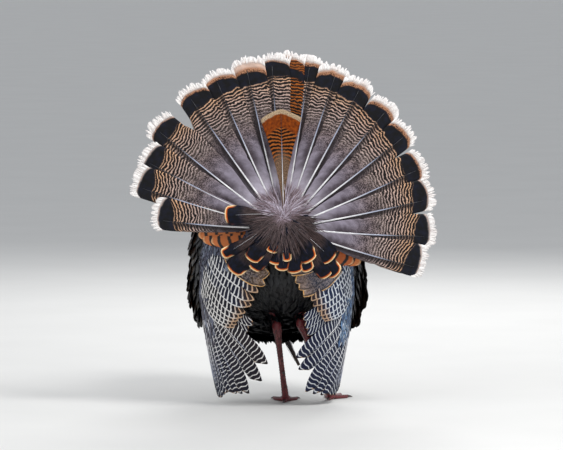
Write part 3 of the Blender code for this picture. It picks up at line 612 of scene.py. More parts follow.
# The folded wings lie on a mantle round the body: half its width and its depth at some heights.
wings = {
    # Bar colours; blueSheen is the blue of the painted sheen that the right wing shows.
    "secondaryBars": dict(
        period=0.0132, share=0.29, slant=0.35, zigzag=0.0004, edge=0.0033, warm=0.040,
        ink=("#090708", "#15121A"), pale="#E4DED8", blueSheen="#14284E",
    ),
    "primaryBars": dict(
        period=0.0108, share=0.20, slant=-0.65, zigzag=0.0006, edge=0.0012, warm=0.004,
        ink=("#120C0D", "#281C1A"), pale="#E2DAD2", blueSheen="#12254A",
    ),
    # Where the small front feathers stop: height, turn round the wing.
    "covertEdge": {
        "left": (
            (0.190, 20.5), (0.228, 23.5), (0.244, 21), (0.265, 21), (0.291, 24), (0.322, 30.5),
            (0.360, 38), (0.400, 55), (0.450, 80),
        ),
        "right": (
            (0.190, 29), (0.253, 29.5), (0.279, 31.5), (0.317, 34), (0.360, 43), (0.400, 55), (0.450, 80),
        ),
    },
    "heights": (0.0, 0.05, 0.12, 0.20, 0.28, 0.36, 0.45),
    "halfWidth": (0.157, 0.165, 0.179, 0.192, 0.201, 0.199, 0.183),
    "depth": (0.105, 0.125, 0.160, 0.205, 0.238, 0.243, 0.228),
    "scale": {"left": 1.0, "right": 0.93},
    # Lower edges of the folded feathers, from the front of the wing to the tip: turn round the wing, height.
    "secondaries": {
        "left": [
            [(35, 0.344), (46.5, 0.322), (58.5, 0.300), (67.7, 0.291), (72.1, 0.294)],
            [(31.7, 0.333), (41.8, 0.306), (52.9, 0.281), (61.6, 0.269), (69.2, 0.276)],
            [(26.6, 0.317), (36.7, 0.290), (48.2, 0.262), (58.2, 0.252), (66.9, 0.261)],
            [(23.8, 0.301), (33.2, 0.274), (44.0, 0.246), (54.6, 0.233), (62.1, 0.243)],
            [(22.4, 0.286), (30.1, 0.260), (40.7, 0.235), (50.9, 0.222), (59.6, 0.231)],
            [(20.3, 0.272), (26.8, 0.249), (37.2, 0.227), (48.0, 0.214), (56.1, 0.221)],
            [(19.3, 0.259), (24.7, 0.238), (34.5, 0.218), (44.9, 0.206), (54.2, 0.210)],
            [(18.5, 0.249), (22.6, 0.230), (31.8, 0.213), (42.8, 0.200), (52.3, 0.202)],
        ],
        "right": [
            [(38.3, 0.333), (47.2, 0.316), (62.2, 0.294), (74.1, 0.281)],
            [(35.5, 0.323), (45.0, 0.300), (59.5, 0.279), (70.6, 0.271)],
            [(32.4, 0.309), (42.6, 0.285), (56.2, 0.263), (68.7, 0.257)],
            [(30.9, 0.296), (39.5, 0.269), (53.7, 0.250), (64.8, 0.242)],
            [(30.2, 0.281), (37.3, 0.256), (49.0, 0.238), (61.8, 0.231)],
            [(29.0, 0.266), (35.0, 0.242), (46.3, 0.227), (59.7, 0.223)],
            [(27.9, 0.253), (32.8, 0.234), (43.6, 0.222), (57.6, 0.217)],
        ],
    },
    "tertials": {
        "left": [
            [(40.0, 0.392), (49.9, 0.356), (58.1, 0.339), (69.1, 0.318), (76.3, 0.327), (81.2, 0.345)],
            [(42.0, 0.375), (52.0, 0.338), (60.0, 0.322), (69.1, 0.306), (74.9, 0.304), (78.4, 0.315)],
            [(44.0, 0.410), (58.1, 0.364), (66.0, 0.348), (73.3, 0.352), (80.0, 0.368)],
        ],
        "right": [
            [(40.0, 0.372), (56.0, 0.335), (67.0, 0.318), (77.0, 0.310), (85.0, 0.317)],
            [(42.0, 0.352), (58.5, 0.316), (68.0, 0.303), (74.1, 0.296), (81.9, 0.300)],
            [(42.0, 0.398), (62.0, 0.354), (70.8, 0.341), (80.0, 0.336), (86.6, 0.334)],
            [(39.0, 0.340), (54.5, 0.303), (67.5, 0.288), (72.5, 0.283), (77.3, 0.281)],
        ],
    },
    "primaries": {
        "left": [
            [(26, 0.235), (32.0, 0.218), (46.0, 0.180), (57.9, 0.141), (67.7, 0.108)],
            [(22, 0.232), (26.2, 0.211), (37.7, 0.163), (49.6, 0.114), (61.4, 0.066)],
            [(19, 0.228), (22.4, 0.202), (30.2, 0.146), (39.1, 0.090), (47.7, 0.038)],
            [(16, 0.222), (19.7, 0.194), (24.5, 0.134), (30.7, 0.074), (40.0, 0.034)],
            [(14, 0.216), (15.9, 0.188), (18.4, 0.124), (22.2, 0.062), (33.0, 0.030)],
            [(11, 0.212), (11.6, 0.182), (12.6, 0.115), (15.1, 0.050), (25.6, 0.023)],
            [(6, 0.210), (6.2, 0.175), (7.0, 0.107), (9.0, 0.046), (18.0, 0.017)],
            [(1, 0.208), (1.0, 0.170), (1.5, 0.102), (4.0, 0.047), (11.0, 0.013)],
            [(-5, 0.205), (-5.0, 0.165), (-4.0, 0.100), (0.0, 0.050), (7.0, 0.016)],
            [(-10, 0.200), (-10.0, 0.160), (-8.0, 0.100), (-3.0, 0.055), (4.0, 0.028)],
        ],
        "right": [
            [(34, 0.222), (37.0, 0.202), (52.1, 0.165), (61.3, 0.140), (69.3, 0.121)],
            [(29, 0.205), (31.4, 0.177), (48.8, 0.128), (58.4, 0.103), (66.0, 0.088)],
            [(22, 0.200), (24.1, 0.162), (40.9, 0.110), (49.9, 0.064), (55.2, 0.040)],
            [(17, 0.196), (18.5, 0.146), (31.8, 0.088), (41.5, 0.046), (46.0, 0.031)],
            [(12, 0.192), (13.1, 0.128), (22.0, 0.070), (29.9, 0.036), (35.8, 0.023)],
            [(7, 0.190), (7.0, 0.120), (12.3, 0.063), (22.4, 0.033), (29.2, 0.017)],
            [(3, 0.188), (2.5, 0.110), (6.0, 0.060), (13.7, 0.032), (21.1, 0.016)],
            [(-2, 0.190), (-2.5, 0.110), (1.0, 0.060), (6.0, 0.036), (13.0, 0.024)],
            [(-8, 0.196), (-8.0, 0.120), (-4.0, 0.070), (0.0, 0.046), (5.0, 0.034)],
        ],
    },
    # Odd inner feathers that stick out below the folded block.
    "strays": {
        "left": [
            [(46, 0.236), (56.0, 0.212), (62.0, 0.206), (67.0, 0.210)],
            [(44, 0.222), (52.0, 0.200), (57.0, 0.192), (62.0, 0.188)],
        ],
        "right": [
            [(48, 0.262), (62.8, 0.232), (69.6, 0.220), (75.5, 0.223)],
            [(46, 0.244), (60.5, 0.216), (67.4, 0.202), (72.5, 0.197)],
            [(42, 0.226), (56.1, 0.200), (64.9, 0.182), (70.3, 0.179)],
        ],
    },
}


# A place on the mantle, from the turn round it in degrees and the height.
def mantle(side, turn, z, lift=0.0):
    sign = 1 if side == "left" else -1
    turn = np.radians(turn)
    half = np.interp(z, wings["heights"], wings["halfWidth"]) * wings["scale"][side] + lift
    deep = np.interp(z, wings["heights"], wings["depth"]) + lift
    return np.stack((sign * half * np.cos(turn), deep * np.sin(turn), z + 0 * turn), -1) + shift


def mantleOut(side, turn, z):
    a = mantle(side, turn + 0.5, z) - mantle(side, turn - 0.5, z)
    b = mantle(side, turn, z + 0.002) - mantle(side, turn, z - 0.002)
    out = np.cross(a, b)
    return unit(out if side == "left" else -out)


def eased(line):
    return 0.25 * line[:-2] + 0.5 * line[1:-1] + 0.25 * line[2:]


# A curve through a few marked places, as rows of turn and height.
def smoothLine(points, count):
    rows = np.array(points, float)
    step = np.hypot(np.diff(rows[:, 0]) * 0.0035, np.diff(rows[:, 1]))
    at = np.concatenate(([0], np.cumsum(step)))
    fine = np.linspace(0, at[-1], count)
    line = np.stack([np.interp(fine, at, rows[:, k]) for k in range(2)], -1)
    for _ in range(count // 5):
        line[1:-1] = eased(line)
    return line


def wingPlace(points, side):
    d = points - shift
    turn = np.degrees(np.arctan2(d[:, 1] / 0.22, np.abs(d[:, 0]) / 0.19)) / 120 + 0.25
    return np.stack((np.clip(turn, 0.02, 0.98), 0.02 + 0.96 * d[:, 2] / 0.47), -1)


# A line on the wing with its outward and sideways directions, and which sideways is down.
def wingLine(side, edge, count):
    line = smoothLine(edge, count)
    z = np.maximum(line[:, 1], 0.004)
    centre = mantle(side, line[:, 0], z)
    out = mantleOut(side, line[:, 0], z)
    across = np.cross(unit(np.gradient(centre, axis=0)), out)
    return centre, out, across, 1.0 if across[count // 2, 2] < 0 else -1.0


# A long feather lying on the wing with its lower edge along a line.
def foldedVane(card, side, edge, wide, lift, tilt, cornerDrop, taper, camber=0.0015):
    count = 36
    centre, out, across, down = wingLine(side, edge, count)
    steps = np.linspace(0, 1, count)
    width = wide * (1 - taper * np.clip((steps - 0.72) / 0.28, 0, 1) ** 2) * np.clip(0.45 + steps * 2.5, 0, 1)
    middle = centre - across * (down * width / 2)[:, None]
    for _ in range(3):  # the middle line eases over the bends of the edge
        middle[1:-1] = eased(middle)
    half = frayed(width / 2, 3, 0.10)
    halves = (half, width / 2) if down > 0 else (width / 2, half)

    def end(u):
        corner = np.clip((1 - u * down) / 2, 0, 1) ** 1.5
        return -cornerDrop * wide * corner - 0.1 * wide * np.clip(np.abs(u) - 0.6, 0, 1) ** 2 / 0.16

    points, x, fromEnd = layVane(card, middle, out, *halves, end, camber, tilt * down, lift)
    points[:, 2] = np.maximum(points[:, 2], 0.0012)
    fromEdge = np.interp(card["v"], steps, width) / 2 - x * down
    return {"points": points, "vane": np.stack((fromEdge, fromEnd), -1)}


# Dark feathers crossed by pale bars, with a pale lower edge.
def barredPaint(name, bars):
    newPaint(name, Roughness=0.5, Specular_IOR_Level=0.18)
    x, y = vaneUv()
    tone, blueSheen = attr("tone"), attr("kind")
    wander = grain(x * 90.0, y * 90.0, tone * 40.0, 3.0) - 0.5
    fine = grain(x * 500.0, y * 500.0, tone * 40.0, 3.0) - 0.5
    wave = y + x * bars["slant"] + sine(x * 300.0) * bars["zigzag"] + wander * 0.004 + tone * 0.007
    ridge = abs(calc("FRACT", wave / bars["period"]) - 0.5) + fine * 0.1
    bar = rise(ridge, bars["share"] / 2 + 0.05, bars["share"] / 2 - 0.05)
    edge = rise(x + fine * 0.0008, bars["edge"] + 0.0005, bars["edge"] - 0.0004)
    ink = blend(rise(wander, -0.25, 0.25), *bars["ink"])
    # Painted blue sheen, set by the feather's kind: the dark bars turn blue and the pale bars bluish.
    ink = blend(blueSheen * 0.8, ink, bars["blueSheen"])
    pale = blend(rise(fine, -0.2, 0.2), bars["pale"], "#FFFDF8")
    pale = blend(blueSheen * 0.5, pale, "#CBDFF6")
    tips = rise(y + wander * 0.02, bars["warm"], bars["warm"] * 0.25)
    pale = blend(tips * 0.8, pale, "#C4915A")
    ink = blend(tips * 0.8, ink, "#33241B")
    colour = blend(greater(bar, edge), ink, pale)
    barb = sine((y + x * 1.1) * 3800.0)
    shade = ramp(barb * 0.08 + 0.6, (0.2, "#C9C6C6"), (0.75, "#FFFFFF"))
    return painted(blend(1.0, colour, shade, "MULTIPLY"), barb, 0.3, 0.0003)


def tertialPaint():
    newPaint("tertialVanes", Roughness=0.6, Specular_IOR_Level=0.18)
    x, y = vaneUv()
    seed = attr("tone") * 40.0
    broad = grain(x * 110.0, y * 110.0, seed, 4.0) - 0.5
    fine = grain(x * 300.0, y * 200.0, seed, 4.0) - 0.5
    colour = blend(rise(fine, -0.08, 0.08), "#211B1C", "#8E8079")
    colour = blend(rise(broad, -0.05, 0.25) * 0.6, colour, "#5E5763")
    # Painted blue sheen, set by the feather's kind.
    colour = blend(attr("kind") * 0.5, colour, "#4C5B78")
    tips = rise(y + broad * 0.03, 0.045, 0.01)
    colour = blend(tips * 0.3, colour, "#A07C58")
    rim = rise(lesser(x, y) + fine * 0.002, 0.0034, 0.0018)
    colour = blend(rim, colour, blend(rise(broad, -0.1, 0.2), "#D9A05A", "#E8D2B0"))
    dark = rise(x, 0.003, 0.0045) * rise(x, 0.0085, 0.006)
    colour = blend(dark * 0.7, colour, "#221A18")
    return painted(colour, fine, 0.3, 0.0004)


def leadPaint():
    newPaint("wingCoverts", Roughness=0.42, Metallic=0.1, Specular_IOR_Level=0.3)
    x, y = vaneUv()
    ax = abs(x)
    tone, blueSheen, edge = attr("tone"), attr("kind"), attr("edge")
    streak = grain(x * 900.0, y * 60.0, tone * 30.0, 3.0)
    brown = ramp(tone, (0.0, "#3C3238"), (0.35, "#5E5560"), (0.7, "#706E7E"), (1.0, "#8C94A8"))
    # Painted blue sheen: the feather's kind takes the colour from brown to a blue ramp with pale blue
    # highlights.
    blue = ramp(tone, (0.0, "#34507E"), (0.4, "#5683B8"), (0.8, "#84B0DC"), (1.0, "#C4DCF2"))
    colour = blend(blueSheen, brown, blue)
    colour = blend(rise(streak, 0.4, 0.62), colour, "#2A2B38")
    colour = blend(rise(edge, 0.0014, 0.0004) * 0.55, colour, "#141319")
    colour = blend(rise(ax, 0.0007, 0.0003), colour, "#1B1A21")
    return painted(colour, streak, 0.3, 0.0004)


def makeWings():
    card, rod = featherCard(8, 40), tubeForm(5, 10)
    barred, plain, primary, shaftRods = {}, {}, {}, []
    for side in ("left", "right"):
        left = side == "left"
        # Each feather's kind is the amount of painted blue sheen: strong on the right wing, weak on the left.
        for k, edge in enumerate(wings["secondaries"][side]):
            longer = [(edge[0][0] - 9, edge[0][1] + 0.03)] + edge
            vane = foldedVane(card, side, longer, 0.034, 0.0005, 0.0022, 0.55 if left else 0.35, 0.3)
            note(barred, **vane, kind=0.12 + 0.25 * (k < 3) if left else 0.95)
        for k, edge in enumerate(wings["tertials"][side]):
            lift = 0.0038 + 0.0012 * (k == 2)
            vane = foldedVane(card, side, edge, 0.052 - 0.006 * k, lift, 0.0016, 0.25, 0.45, camber=0.003)
            note(plain, **vane, kind=0.1 if left else 0.55)
        for k, edge in enumerate(wings["strays"][side]):
            vane = foldedVane(card, side, edge, 0.024, -0.0050 - 0.001 * k, 0.0012, 0.15, 0.2)
            note(primary, **vane, kind=0.3 if left else 0.8)
        for k, edge in enumerate(wings["primaries"][side]):
            wide, corner = (0.043, -0.42) if k < 5 else (0.036, -0.1)
            vane = foldedVane(card, side, edge, wide, -0.003, 0.002, corner, 0.35)
            note(primary, **vane, kind=(0.15 + 0.07 * k) if left else 0.75)
            centre, out, across, down = wingLine(side, edge, 12)
            shaftRods.append(layTube(rod, centre - across * down * 0.008 + out * -0.0012, 0.0012, 0.0004))
    for name, rows, paint in (
        ("secondaries", barred, barredPaint("barredVanes", wings["secondaryBars"])),
        ("tertials", plain, tertialPaint()),
        ("primaries", primary, barredPaint("primaryVanes", wings["primaryBars"])),
    ):
        count = len(rows["kind"])
        rows["bake"] = [bakeStrip(card, k, count) for k in range(count)]
        rows["tone"] = dice.random(count)
        stands = [f"wing_{side}_{name}" for side in ("left", "right") if name != "tertials"]
        vanePiece("wing_" + name, card, rows, paint, "barred_feathers", *stands)
    tubePiece("wing_shafts", rod, shaftRods, rod["v"], shaftPaint(), "barred_feathers")


# The smooth front of each wing: rows of small feathers, longer lower down.
def makeWingCoverts():
    card, spots = featherCard(4, 5), {}
    for side in ("left", "right"):
        edgeZ, edgeTurn = np.array(wings["covertEdge"][side]).T
        z, row = 0.452, 0
        while z > 0.185:
            forward = np.interp(z, (0.0, 0.1, 0.19, 0.3, 0.45), (0.03, -0.012, -0.04, -0.05, -0.055))
            front = math.degrees(math.asin(forward / np.interp(z, wings["heights"], wings["depth"])))
            stop = np.interp(z, edgeZ, edgeTurn)
            number = max(3, int(0.0035 * (stop - front) / 0.0105))
            for k in range(number + 1):
                turn = front + (stop - front) * (k + 0.5 * (row % 2)) / number
                here = z + dice.normal(0, 0.0025)
                root = mantle(side, turn, here, -0.0035)
                lower = mantle(side, turn + 1.2 + 3.0 * (z > 0.34), here - 0.02, -0.0035)
                out = mantleOut(side, turn, here)
                # Painted blue sheen: strong on the right wing, faint on the left, and weaker towards the
                # front of the wing.
                blueSheen = 0.06 + 0.12 * (z > 0.3) if side == "left" else 0.90
                note(
                    spots, root=root, along=unit(lower - root) + 0.13 * out, out=out,
                    long=0.036 + dice.uniform(0, 0.014), wide=0.0165 + dice.uniform(-0.002, 0.003),
                    tone=dice.random(), kind=blueSheen * np.interp(turn, (front, front + 30), (0.15, 1.0)),
                    bake=wingPlace(root[None], side)[0] * (0.5, 1) + (0.5 * (side == "right"), 0),
                )
            z -= 0.0125
            row += 1
    form = dict(
        half=((0, 0.25, 0.7, 0.9, 1.0), (0.45, 0.9, 1.0, 0.8, 0.34)), drop=0.1, camber=0.1, curl=-0.05,
        thick=0.0005,
    )
    names = ["wing_left_coverts", "wing_right_coverts"]
    growFeathers("wing_coverts", card, spots, form, leadPaint(), "bronze_feathers", *names)


makeWings()
makeWingCoverts()


def surfaceTree(*objs):
    bm = bmesh.new()
    for obj in objs:
        bm.from_mesh(obj.data)
    tree = BVHTree.FromBMesh(bm)
    bm.free()
    return tree


# Where a ray meets a surface, with the normal there, or nothing.
def struck(tree, start, ray, reach=10.0):
    hit, normal, _, _ = tree.ray_cast(Vector(start), Vector(ray), reach)
    return (None, None) if hit is None else (np.array(hit), np.array(normal))


# The trunk is clothed in rings of feathers round the line from its centre to the foot of the neck.
coat = {
    "centre": np.array((0, -0.06, 0.37)) + shift,
    "neckBase": np.array((0, -0.205, 0.57)) + shift,
    "firstTurn": 15,
    "lastTurn": 176,
    "row": 0.0185,  # from one ring of feathers to the next
    "gap": 0.0205,  # from one feather to its neighbour
}


def polarHit(tree, centre, pole, turn, spin):
    first = np.array((1.0, 0, 0))
    second = np.cross(pole, first)
    a, b = math.radians(turn), math.radians(spin)
    ray = math.cos(a) * pole + math.sin(a) * (math.cos(b) * first + math.sin(b) * second)
    return struck(tree, centre, ray)[0]


def trunkSpots():
    tree = surfaceTree(cadNodes["trunk"])
    pole = unit(coat["neckBase"] - coat["centre"])
    hitAt = lambda turn, spin: polarHit(tree, coat["centre"], pole, turn, spin)
    rows = {}
    turn, odd = coat["firstTurn"], 0
    while turn < coat["lastTurn"]:
        ring = [hitAt(turn, spin) for spin in range(0, 360, 6)]
        ring = np.array([p for p in ring if p is not None])
        girth = np.linalg.norm(np.diff(np.vstack((ring, ring[:1])), axis=0), axis=1)
        at = np.concatenate(([0], np.cumsum(girth)))
        grow = np.interp(turn, (15, 40, 75), (0.52, 0.8, 1.0))
        number = max(6, int(at[-1] / (coat["gap"] * grow)))
        marks = np.arange(number) + 0.5 * (odd % 2) + dice.uniform(-0.16, 0.16, number)
        for spin in np.interp(marks * at[-1] / number % at[-1], at, np.linspace(0, 360, len(at))):
            t = turn + dice.uniform(-0.8, 0.8)
            near = [hitAt(t, spin), hitAt(t + 3, spin), hitAt(t, spin + 3), hitAt(t - 3, spin)]
            if any(p is None for p in near):
                continue
            here, onward, beside, back = near
            out = unit(np.cross(onward - back, beside - here))
            if out.dot(here - coat["centre"]) < 0:
                out = -out
            note(rows, root=here, along=unit(onward - back), out=out, turn=t)
        radius = np.linalg.norm(ring - coat["centre"], axis=1).mean()
        turn += math.degrees(coat["row"] * grow / radius)
        odd += 1
    return [np.array(rows[key]) for key in ("root", "along", "out", "turn")]


def bronzePaint():
    newPaint("bronzeFeathers", Roughness=0.34)
    x, y = vaneUv()
    tone, kind, edge = attr("tone"), attr("kind"), attr("edge")
    cloud = objectGrain(4.0) + (tone - 0.5) * 0.09
    bronze = ramp(
        cloud, (0.28, "#2A1810"), (0.42, "#6E4020"), (0.5, "#94652E"), (0.57, "#6E5C2E"), (0.66, "#7A3E22"),
        (0.8, "#2E2028"),
    )
    black = blend(rise(tone, 0.3, 0.8), "#08080B", "#0E1018")
    tip = greater(rise(y, 0.0062, 0.0048), rise(edge, 0.002, 0.0008))
    colour = blend(tip, bronze, black)
    base = blend(rise(y, 0.026, 0.036), colour, "#241D1C")
    dusky = blend(kind, base, black)
    barb = sine((y + abs(x) * 0.9) * 4200.0)
    dusky = blend(1.0, dusky, ramp(barb * 0.15 + 0.6, (0.3, "#BDBDBD"), (0.75, "#FFFFFF")), "MULTIPLY")
    feed(brush["sockets"]["Metallic"], (1.0 - tip) * (0.75 - kind * 0.65))
    return painted(dusky, barb, 0.35, 0.0003)


bodyForm = dict(
    half=((0, 0.2, 0.55, 0.85, 1.0), (0.35, 0.75, 1.0, 0.98, 0.80)), drop=0.045, camber=0.05, curl=-0.10,
    thick=0.0006, rough=0.03,
)
raggedForm = dict(
    half=((0, 0.3, 0.6, 0.85, 1.0), (0.4, 0.9, 1.0, 0.65, 0.22)), drop=0.1, camber=0.08, curl=-0.06,
    thick=0.0005, ragged=0.25, rough=0.08,
)


# Breast, back, flanks and belly, with looser feathers low down and at the rear.
def makeCoat():
    root, along, out, turn = trunkSpots()
    count = len(root)
    size = np.interp(turn, (15, 35, 70), (0.45, 0.75, 1.0))
    low = np.clip((0.245 - root[:, 2]) / 0.06, 0, 1) * (root[:, 1] > -0.22)  # the loose belly fluff
    rear = (turn > 118) * 1.0
    flank = np.clip((np.abs(root[:, 0]) - 0.15) / 0.04, 0, 1) * (root[:, 2] < 0.34)
    lift = 0.17 + 0.10 * dice.random(count) + 0.16 * flank + 0.10 * rear
    long = (0.046 + 0.010 * dice.random(count)) * size * (1 + 0.25 * flank + 0.25 * low)
    aim = unit(along + out * lift[:, None] + 0.10 * np.cross(along, out) * dice.normal(0, 1, (count, 1)))
    back = np.interp(root[:, 1], (-0.16, -0.04), (0, 1)) * np.interp(root[:, 2], (0.46, 0.54), (1, 0.25))
    spots = {
        "root": root - out * (0.0095 + 0.004 * flank + long * 0.05)[:, None],
        "along": aim,
        "out": out,
        "long": long,
        "wide": (0.033 + 0.006 * dice.random(count)) * size * (1 - 0.35 * np.maximum(low, rear)),
        "tone": dice.random(count),
        "kind": np.clip(np.maximum(low, rear) + back, 0, 1),
        "bake": skinPlace(root),
    }
    loose = np.maximum(low, rear) > 0.5
    front = (root[:, 1] < -0.06) & ~loose
    for name, mask, form in (
        ("coat_breast", front, bodyForm),
        ("coat_back_flanks", ~front & ~loose, bodyForm),
        ("coat_belly", loose, raggedForm),
    ):
        some = {key: value[mask] for key, value in spots.items()}
        growFeathers(name, featherCard(4, 5), some, form, bronze, "bronze_feathers")
    print("coat of", count, "feathers")


# Small feathers climbing the nape and closing the gap round the foot of the neck.
def makeNeckFeathers(skin):
    tree = surfaceTree(skin)

    def plant(spots, start, ray, away, lift, long, wide, facing=0.25):
        hit, normal = struck(tree, start + shift, ray)
        if hit is None:
            return
        place = hit - shift
        if normal @ ray > -facing or (place[1] < -0.222 and abs(place[0]) < 0.040 and place[2] > 0.525):
            return
        lie = unit(away - normal * (away @ normal))
        note(
            spots, root=hit - normal * 0.001, along=lie + normal * lift, out=normal,
            long=long * dice.uniform(0.9, 1.15), wide=wide * dice.uniform(0.9, 1.1),
            kind=dice.uniform(0.2, 0.8), bake=skinPlace((hit - normal * 0.001)[None])[0],
        )

    def roundNeck(n, number):
        for k in range(number):
            b = 2 * math.pi * (k + 0.5 * (n % 2) + dice.uniform(-0.2, 0.2)) / number
            yield np.array((math.cos(b), math.sin(b), 0))

    down = np.array((0, 0, -1.0))
    spots = {}
    for n, z in enumerate(np.arange(0.538, 0.616, 0.0072)):
        grow = np.interp(z, (0.54, 0.614), (1.0, 0.38))
        for way in roundNeck(n, 34):
            if way[1] <= -0.25:
                continue
            if z < np.interp(way[1], (-0.2, 0.3, 1), (0.548, 0.586, 0.614)) + dice.normal(0, 0.003):
                start = np.array((0, -0.2, z)) + way * 0.085
                plant(spots, start, -way, down + way * 0.2, 0.36, 0.026 * grow, 0.015 * grow)
    for n, radius in enumerate(np.arange(0.036, 0.108, 0.0100)):
        long, wide = (np.interp(radius, (0.034, 0.1), ends) for ends in ((0.026, 0.038), (0.016, 0.024)))
        for way in roundNeck(n, int(2 * math.pi * radius / 0.0115)):
            start = np.array((0, -0.2, 0.606)) + way * radius
            plant(spots, start, down, way, dice.uniform(0.28, 0.4), long, wide, 0.6)
    spots["tone"] = dice.random(len(spots["long"]))
    growFeathers("coat_neck", featherCard(4, 4), spots, bodyForm, bronze, "bronze_feathers")
    # Sparse bristles on the nape and behind the crown.
    spots = {"root": []}
    eye = head["eye"] - shift
    while len(spots["root"]) < 260:
        way = unit(dice.normal(0, 1, 3) + (0, 0.5, 0.1))
        middle = np.array((0, -0.216, dice.uniform(0.615, 0.672)))
        if way[1] < -0.35 or np.linalg.norm((middle + way * 0.02 - eye) * (0.4, 1, 1)) < 0.014:
            continue
        plant(spots, middle + way * 0.06, -way, np.array((0, 0.7, -0.7)), 0.35, 0.0052, 0.0005)
    spots["tone"] = dice.random(len(spots["long"]))
    spots["kind"] = np.ones(len(spots["long"]))
    growFeathers("head_bristles", featherCard(1, 2), spots, raggedForm, bronze, "bronze_feathers")


def upperPaint():
    newPaint("rumpCoverts", Roughness=0.5)
    x, y = vaneUv()
    tone, kind = attr("tone"), attr("kind")
    seed = tone * 30.0
    wander = grain(x * 120.0, y * 120.0, seed, 3.0) - 0.5
    wave = y + abs(x) * ((kind < 1.5) * -0.25) + wander * 0.005
    bold = kind > 1.5
    rate = 2 * math.pi / 0.0068 - bold * (2 * math.pi * (1 / 0.0068 - 1 / 0.026))
    bars = rise(sine(wave * rate) + bold * 0.55, -0.3, 0.3)
    orange = ramp(tone + wander, (0.0, "#6E3210"), (0.6, "#9C5420"), (1.0, "#B87638"))
    colour = blend(bars, "#17100D", orange)
    colour = blend(rise(y, 0.04, 0.062), colour, "#4A2A18")
    colour = blend(rise(y + wander * 0.008, 0.015, 0.013), colour, orange)
    colour = blend(rise(y + wander * 0.004, 0.005, 0.0034), colour, "#D0A272")
    bright = blend(bars, "#0E0A0A", blend(tone, "#C8601C", "#D98A4C"))
    colour = blend(bold, colour, blend(rise(y, 0.006, 0.003), bright, "#E0A878"))
    return painted(colour, sine((y + abs(x)) * 3600.0), 0.25, 0.0003)


def fanPlace(angle, radius):
    return (0.5 + angle / 400, min(0.98, 0.05 + radius * 2.0))


upperRows = (  # how far out the tips lie, the length and the width of each row
    (0.247, 0.105, 0.046), (0.228, 0.1, 0.044), (0.205, 0.095, 0.042), (0.18, 0.085, 0.04),
    (0.155, 0.075, 0.038), (0.13, 0.066, 0.036), (0.106, 0.056, 0.034), (0.084, 0.046, 0.03),
)
upperBold = (  # the boldly barred feathers at both ends: the way they point, their tips and their twist
    (98, 0.214, 0), (104, 0.205, -4), (109, 0.186, -8), (-117, 0.222, 0), (-122, 0.205, 6),
)


def makeUpperCoverts():
    spots = {}
    start, stop = -86, 82
    thickAt = lambda r: 0.060 * (1 - min(1, max(0, (r - 0.04) / 0.205))) ** 1.5 + 0.0025
    for n, (tipRadius, long, wide) in enumerate(upperRows):
        number = int(math.radians(stop - start) * (tipRadius - 0.02) / (wide * 0.58))
        for k in range(number + 1):
            angle = start + (stop - start) * (k + 0.5 * (n % 2)) / number + dice.normal(0, 0.8)
            if angle > stop + 1:
                continue
            along, _, behind = fanAxes(angle)
            tipR = tipRadius + dice.normal(0, 0.004)
            rootR = tipR - long
            root = tail["centre"] + along * rootR - behind * (thickAt(rootR) - 0.004)
            tip = tail["centre"] + along * tipR - behind * (thickAt(tipR) + 0.0015)
            note(
                spots, root=root, along=tip - root, out=-behind, long=long, wide=wide, tone=dice.random(),
                kind=n / 7, bake=fanPlace(angle, rootR),
            )
    for angle, tipR, turned in upperBold:
        along, across, behind = fanAxes(angle)
        note(
            spots, root=tail["centre"] + along * (tipR - 0.115) - behind * 0.012,
            along=along + across * math.tan(math.radians(turned)), out=behind, long=0.115, wide=0.044,
            tone=dice.random(), kind=2.0, bake=fanPlace(angle, tipR - 0.115),
        )
    form = dict(
        half=((0, 0.3, 0.75, 0.93, 1.0), (0.25, 0.7, 1.0, 0.85, 0.45)), drop=0.05, camber=0.05, curl=0.02,
        thick=0.0005,
    )
    slotName, stands = "chestnut_feathers", "tail_coverts_upper"
    growFeathers("tail_upper_coverts", featherCard(4, 6), spots, form, upperPaint(), slotName, stands)


# How far behind the fan's middle the vent feathers lie.
def apronDepth(radius, angle):
    down = np.clip((np.abs(angle) - 75) / 60, 0, 1)
    below = np.interp(radius, (0, 0.03, 0.07, 0.13, 0.17, 0.20), (0.040, 0.052, 0.056, 0.050, 0.036, 0.026))
    aside = np.interp(radius, (0, 0.03, 0.07, 0.13, 0.20), (0.040, 0.046, 0.040, 0.036, 0.034))
    return aside + (below - aside) * down


def apronPoint(angle, radius, more=0.0):
    turn = math.radians(angle)
    flat = math.sin(turn) * np.array((1.0, 0, 0)) + math.cos(turn) * np.array((0, 0, 1.0))
    return tail["centre"] + apron["raised"] + flat * radius + np.array((0, 1.0, 0)) * (
        apronDepth(radius, angle) + more
    )


# The vent feathers that hang below the root of the fan.
apron = {
    "raised": np.array((0.004, 0, 0.033)),
    # Feathers that show their rims: way they point, length, width, layer.
    "shown": [
        (91, 0.137, 0.052, 2), (138, 0.184, 0.054, 0), (144, 0.134, 0.046, 3), (162, 0.094, 0.030, 5),
        (-175, 0.112, 0.024, 4), (-150, 0.128, 0.050, 4), (179, 0.134, 0.038, 1), (-168, 0.143, 0.044, 2),
        (-155, 0.150, 0.036, 1), (-132, 0.160, 0.056, 3), (-144, 0.186, 0.046, 1),
        (-138, 0.198, 0.046, 0), (124, 0.176, 0.030, 0), (170, 0.120, 0.040, 0), (152, 0.150, 0.044, 0),
    ],
}


